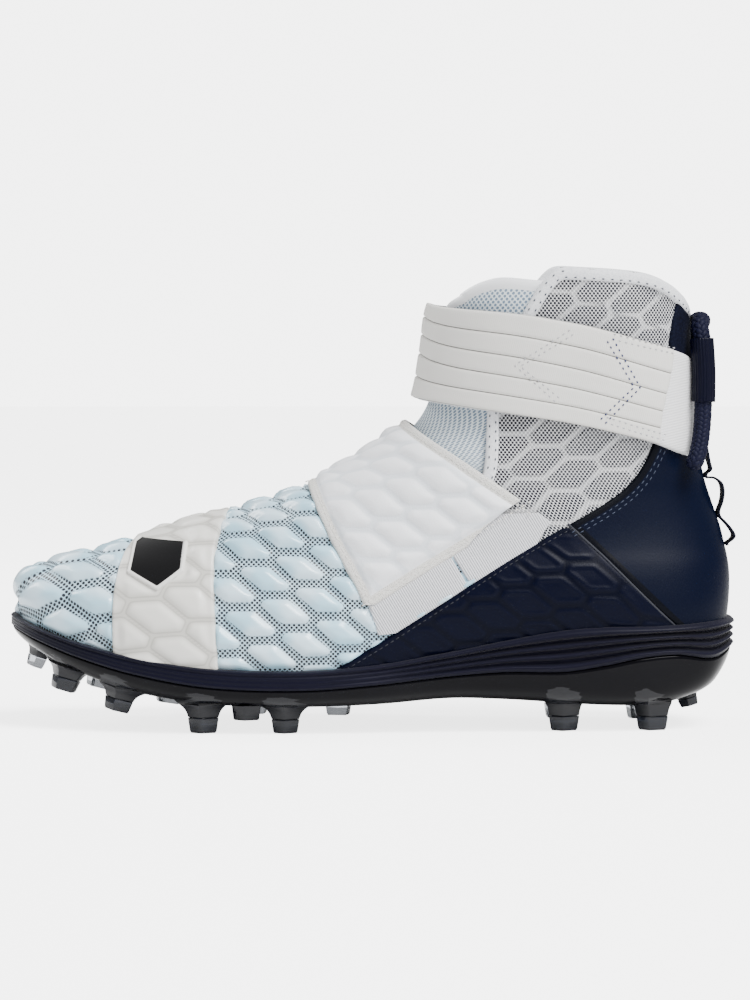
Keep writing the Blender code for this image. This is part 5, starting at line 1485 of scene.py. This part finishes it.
def tube_frame(path):
    """Directions along, to the side and up for each point of a path, without twist."""
    along = np.gradient(path, axis=0)
    along /= np.linalg.norm(along, axis=1, keepdims=True)
    side = np.zeros_like(path)
    side[0] = np.cross(along[0], (1.0, 0, 0))
    for i in range(len(path)):
        before = side[max(i - 1, 0)]
        side[i] = before - along[i] * np.dot(before, along[i])
        side[i] /= np.linalg.norm(side[i])
    return along, side, np.cross(along, side)


STRANDS = 8
LAY = 0.016
STRAND_RADIUS = 0.00095
steps = np.linspace(0.0, run[-1], int(run[-1] / 0.00045))
core = np.column_stack([np.interp(steps, run, route[:, i]) for i in range(3)])
along, side, up_way = tube_frame(core)
taper = np.clip(np.minimum(steps, run[-1] - steps) / 0.0025, 0.0, 1) ** 0.5
points, faces = [], []
for direction in (1, -1):
    for strand in range(STRANDS):
        turn = direction * 2 * math.pi * steps / LAY + 2 * math.pi * strand / STRANDS
        crossing = 2 * STRANDS * steps / LAY
        over = np.cos(math.pi / 2 * (2 * strand + direction * crossing) - math.pi / 4) * direction
        radius = (ROPE_RADIUS - STRAND_RADIUS * 1.35 + 0.00042
                  * np.clip(over * 1.4, -1, 1)) * (0.35 + 0.65 * taper)
        path = core + (side * np.cos(turn)[:, None] + up_way * np.sin(turn)[:, None]) * radius[:, None]
        way = tube_frame(path)[0]
        outwards = path - core
        outwards /= np.maximum(np.linalg.norm(outwards, axis=1, keepdims=True), 1e-9)
        flat = np.cross(way, outwards)
        base = len(points)
        for angle in np.linspace(0, 2 * math.pi, 6, endpoint=False):
            points_at = path + (flat * math.cos(angle) * 1.35 + outwards * math.sin(angle)
                                * 0.8) * STRAND_RADIUS
            points += [tuple(p) for p in points_at]
        count = len(path)
        for k in range(6):
            a, b = base + k * count, base + ((k + 1) % 6) * count
            faces += [(a + i, a + i + 1, b + i + 1, b + i) for i in range(count - 1)]
        faces += [tuple(base + k * count for k in range(6)),
                  tuple(base + k * count + count - 1 for k in range(5, -1, -1))]
rope = facing_out(mesh_piece("pull_rope_braid", points, faces))
rope_finish, tree, shader = finish_named("navy_rope_finish", Roughness=0.6, Specular_IOR_Level=0.12)
place = node(tree, "ShaderNodeTexCoord").outputs["Object"]
fibre = node(tree, "ShaderNodeTexNoise", Vector=place, Scale=1500.0, Detail=2.0).outputs["Fac"]
tree.links.new(mixed(tree, fibre, (0.0010, 0.0012, 0.0070, 1), (0.0032, 0.0040, 0.0200, 1)),
               shader.inputs["Base Color"])
bumped(tree, shader, fibre, 0.4, 0.0002)
dress(rope, rope_finish, "navy_rope", "pull_rope")

sleeved = [index for index, turn in enumerate(ROPE_ROUTE) if turn[3]]
sleeve_finish, tree, shader = finish_named("sleeve_finish", Base_Color=(0.0012, 0.0015, 0.0075, 1),
                                           Specular_IOR_Level=0.10, Roughness=0.35)
SLEEVE_RIBS = 24
for name, path in (("lateral", route_points), ("medial", route_points[::-1])):
    path = smooth_through(path[sleeved[0] : sleeved[-1] + 1], 14)
    along, side, up_way = tube_frame(path)
    rows = []
    for radius in (ROPE_RADIUS + SLEEVE_WALL + GAP, ROPE_RADIUS + GAP - 0.0002):
        angles = np.linspace(0, 2 * math.pi, SLEEVE_RIBS * 4, endpoint=False)
        ribs = radius + (0.00016 * np.cos(angles * SLEEVE_RIBS) if radius > ROPE_RADIUS + GAP else 0)
        ring_rows = [p + (np.cos(angles) * ribs)[:, None] * s + (np.sin(angles) * ribs)[:, None] * u
                     for p, s, u in zip(path, side, up_way)]
        rows += ring_rows if not rows else ring_rows[::-1]
    sleeve = facing_out(lofted(f"sleeve_tube_{name}", [*rows, rows[0]]))
    dress(sleeve, sleeve_finish, "navy_rope", f"rope_sleeve_{name}")

# Heel webbing.
# A narrow dark woven tape down the middle of the heel, over the ankle strap,
# sewn down between two finger loops.
WEBBING_WIDTH = 0.014
WEBBING_THICK = 0.0013
STRAP_CLEAR = ANKLE_STRAP + GAP
# level, distance of the inner face from its seat on the counter
WEBBING_ROUTE = np.array([
    (12.00, 0.0), (11.80, STRAP_CLEAR), (11.00, STRAP_CLEAR), (10.00, STRAP_CLEAR), (9.00, STRAP_CLEAR),
    (8.00, STRAP_CLEAR),
    (7.55, STRAP_CLEAR), (7.38, 0.0), (7.22, 0.0), (7.10, 0.0030), (6.80, 0.0050), (6.40, 0.0048),
    (6.00, 0.0030),
    (5.70, 0.0008), (5.55, 0.0), (5.35, 0.0), (5.10, 0.0012), (4.70, 0.0028), (4.30, 0.0036),
    (4.08, 0.0022), (3.95, 0.0),
    (3.85, 0.0),
])
route, outs = placed(np.full(len(WEBBING_ROUTE), float(HEEL_COLUMN)), WEBBING_ROUTE[:, 0],
                     2 * GAP + PANEL + WEBBING_ROUTE[:, 1])
outs[:, 1] = 0
path = smooth_through(np.hstack([route, outs]), 7)
middle, outs = path[:, :3], path[:, 3:] / np.linalg.norm(path[:, 3:], axis=1, keepdims=True)
half_width = WEBBING_WIDTH / 2
flat_section = [(-half_width, 0.0002), (-half_width, 0.0011), (-half_width + 0.0004, WEBBING_THICK),
                (half_width - 0.0004, WEBBING_THICK), (half_width, 0.0011), (half_width, 0.0002),
                (half_width - 0.0003, 0),
                (-half_width + 0.0003, 0)]
across = np.array([0.0, 1.0, 0.0])
rows = [[p + across * u + o * v for u, v in flat_section] for p, o in zip(middle, outs)]
webbing = facing_out(lofted("heel_webbing_tape", rows, caps=(True, True)))
webbing_finish, tree, shader = finish_named("navy_webbing_finish", Roughness=0.75, Specular_IOR_Level=0.10)
place = node(tree, "ShaderNodeTexCoord").outputs["Object"]
twill = node(tree, "ShaderNodeGroup", node_tree=RIBBING, Vector=place, Direction=(0.0, 0.7, 0.7),
             Pitch=0.0010).outputs["Rib"]
# Painted shade: the twill is darker in the valleys of its weave.
tree.links.new(mixed(tree, twill, (0.0010, 0.0014, 0.0045, 1), (0.0028, 0.0038, 0.0105, 1)),
               shader.inputs["Base Color"])
bumped(tree, shader, twill, 0.5, 0.0003)
dress(webbing, webbing_finish, "navy_webbing", "heel_webbing")

# Floor and light.
# A plain pale floor and soft studio light.
bpy.ops.mesh.primitive_plane_add(size=8.0, location=(0, 0, 0))
floor = bpy.context.object
floor.name = "floor"
floor_finish, tree, shader = finish_named("pale_floor", Base_Color=(0.92, 0.92, 0.92, 1),
                                          Emission_Strength=3.2, Roughness=0.6)
tree.links.new(node(tree, "ShaderNodeLightPath").outputs["Is Camera Ray"], shader.inputs["Emission Color"])
floor.data.materials.append(floor_finish)

world = bpy.data.worlds.new("studio")
bpy.context.scene.world = world
world.use_nodes = True
tree = world.node_tree
seen = node(tree, "ShaderNodeLightPath").outputs["Is Camera Ray"]
tree.nodes["Background"].inputs["Color"].default_value = (1, 1, 1, 1)
tree.links.new(ramped(tree, seen, 0.0, 1.0, 0.45, 5.4, smooth=False),
               tree.nodes["Background"].inputs["Strength"])
sun = bpy.data.lights.new("overhead", "SUN")
sun.energy, sun.angle = 6.0, math.radians(28)
lamp = bpy.data.objects.new("overhead", sun)
lamp.rotation_euler = Vector((0.45, -0.42, -1.0)).to_track_quat("-Z", "Y").to_euler()
bpy.context.scene.collection.objects.link(lamp)
for name, place, aim, size, power in (
    ("key", (-0.7, 1.0, 0.9), (0, 0, 0.08), 0.7, 16),
    ("rear", (0.9, -0.6, 0.8), (0, 0, 0.10), 0.6, 12),
):
    light = bpy.data.lights.new(name, "AREA")
    light.size, light.energy = size, power
    lamp = bpy.data.objects.new(name, light)
    lamp.location = place
    lamp.rotation_euler = (Vector(aim) - Vector(place)).to_track_quat("-Z", "Y").to_euler()
    bpy.context.scene.collection.objects.link(lamp)

# Camera.
# A long lens level with the lateral side, a little above it, as in the picture.
view = bpy.data.cameras.new("camera")
view.lens = 175.0
view.sensor_width = 36
camera = bpy.data.objects.new("camera", view)
aim = Vector((-0.0011, 0.03, 0.095))
camera.location = aim + 2.0 * Vector((0, math.cos(math.radians(3)), math.sin(math.radians(3))))
camera.rotation_euler = (aim - camera.location).to_track_quat("-Z", "Y").to_euler()
bpy.context.scene.collection.objects.link(camera)
bpy.context.scene.camera = camera
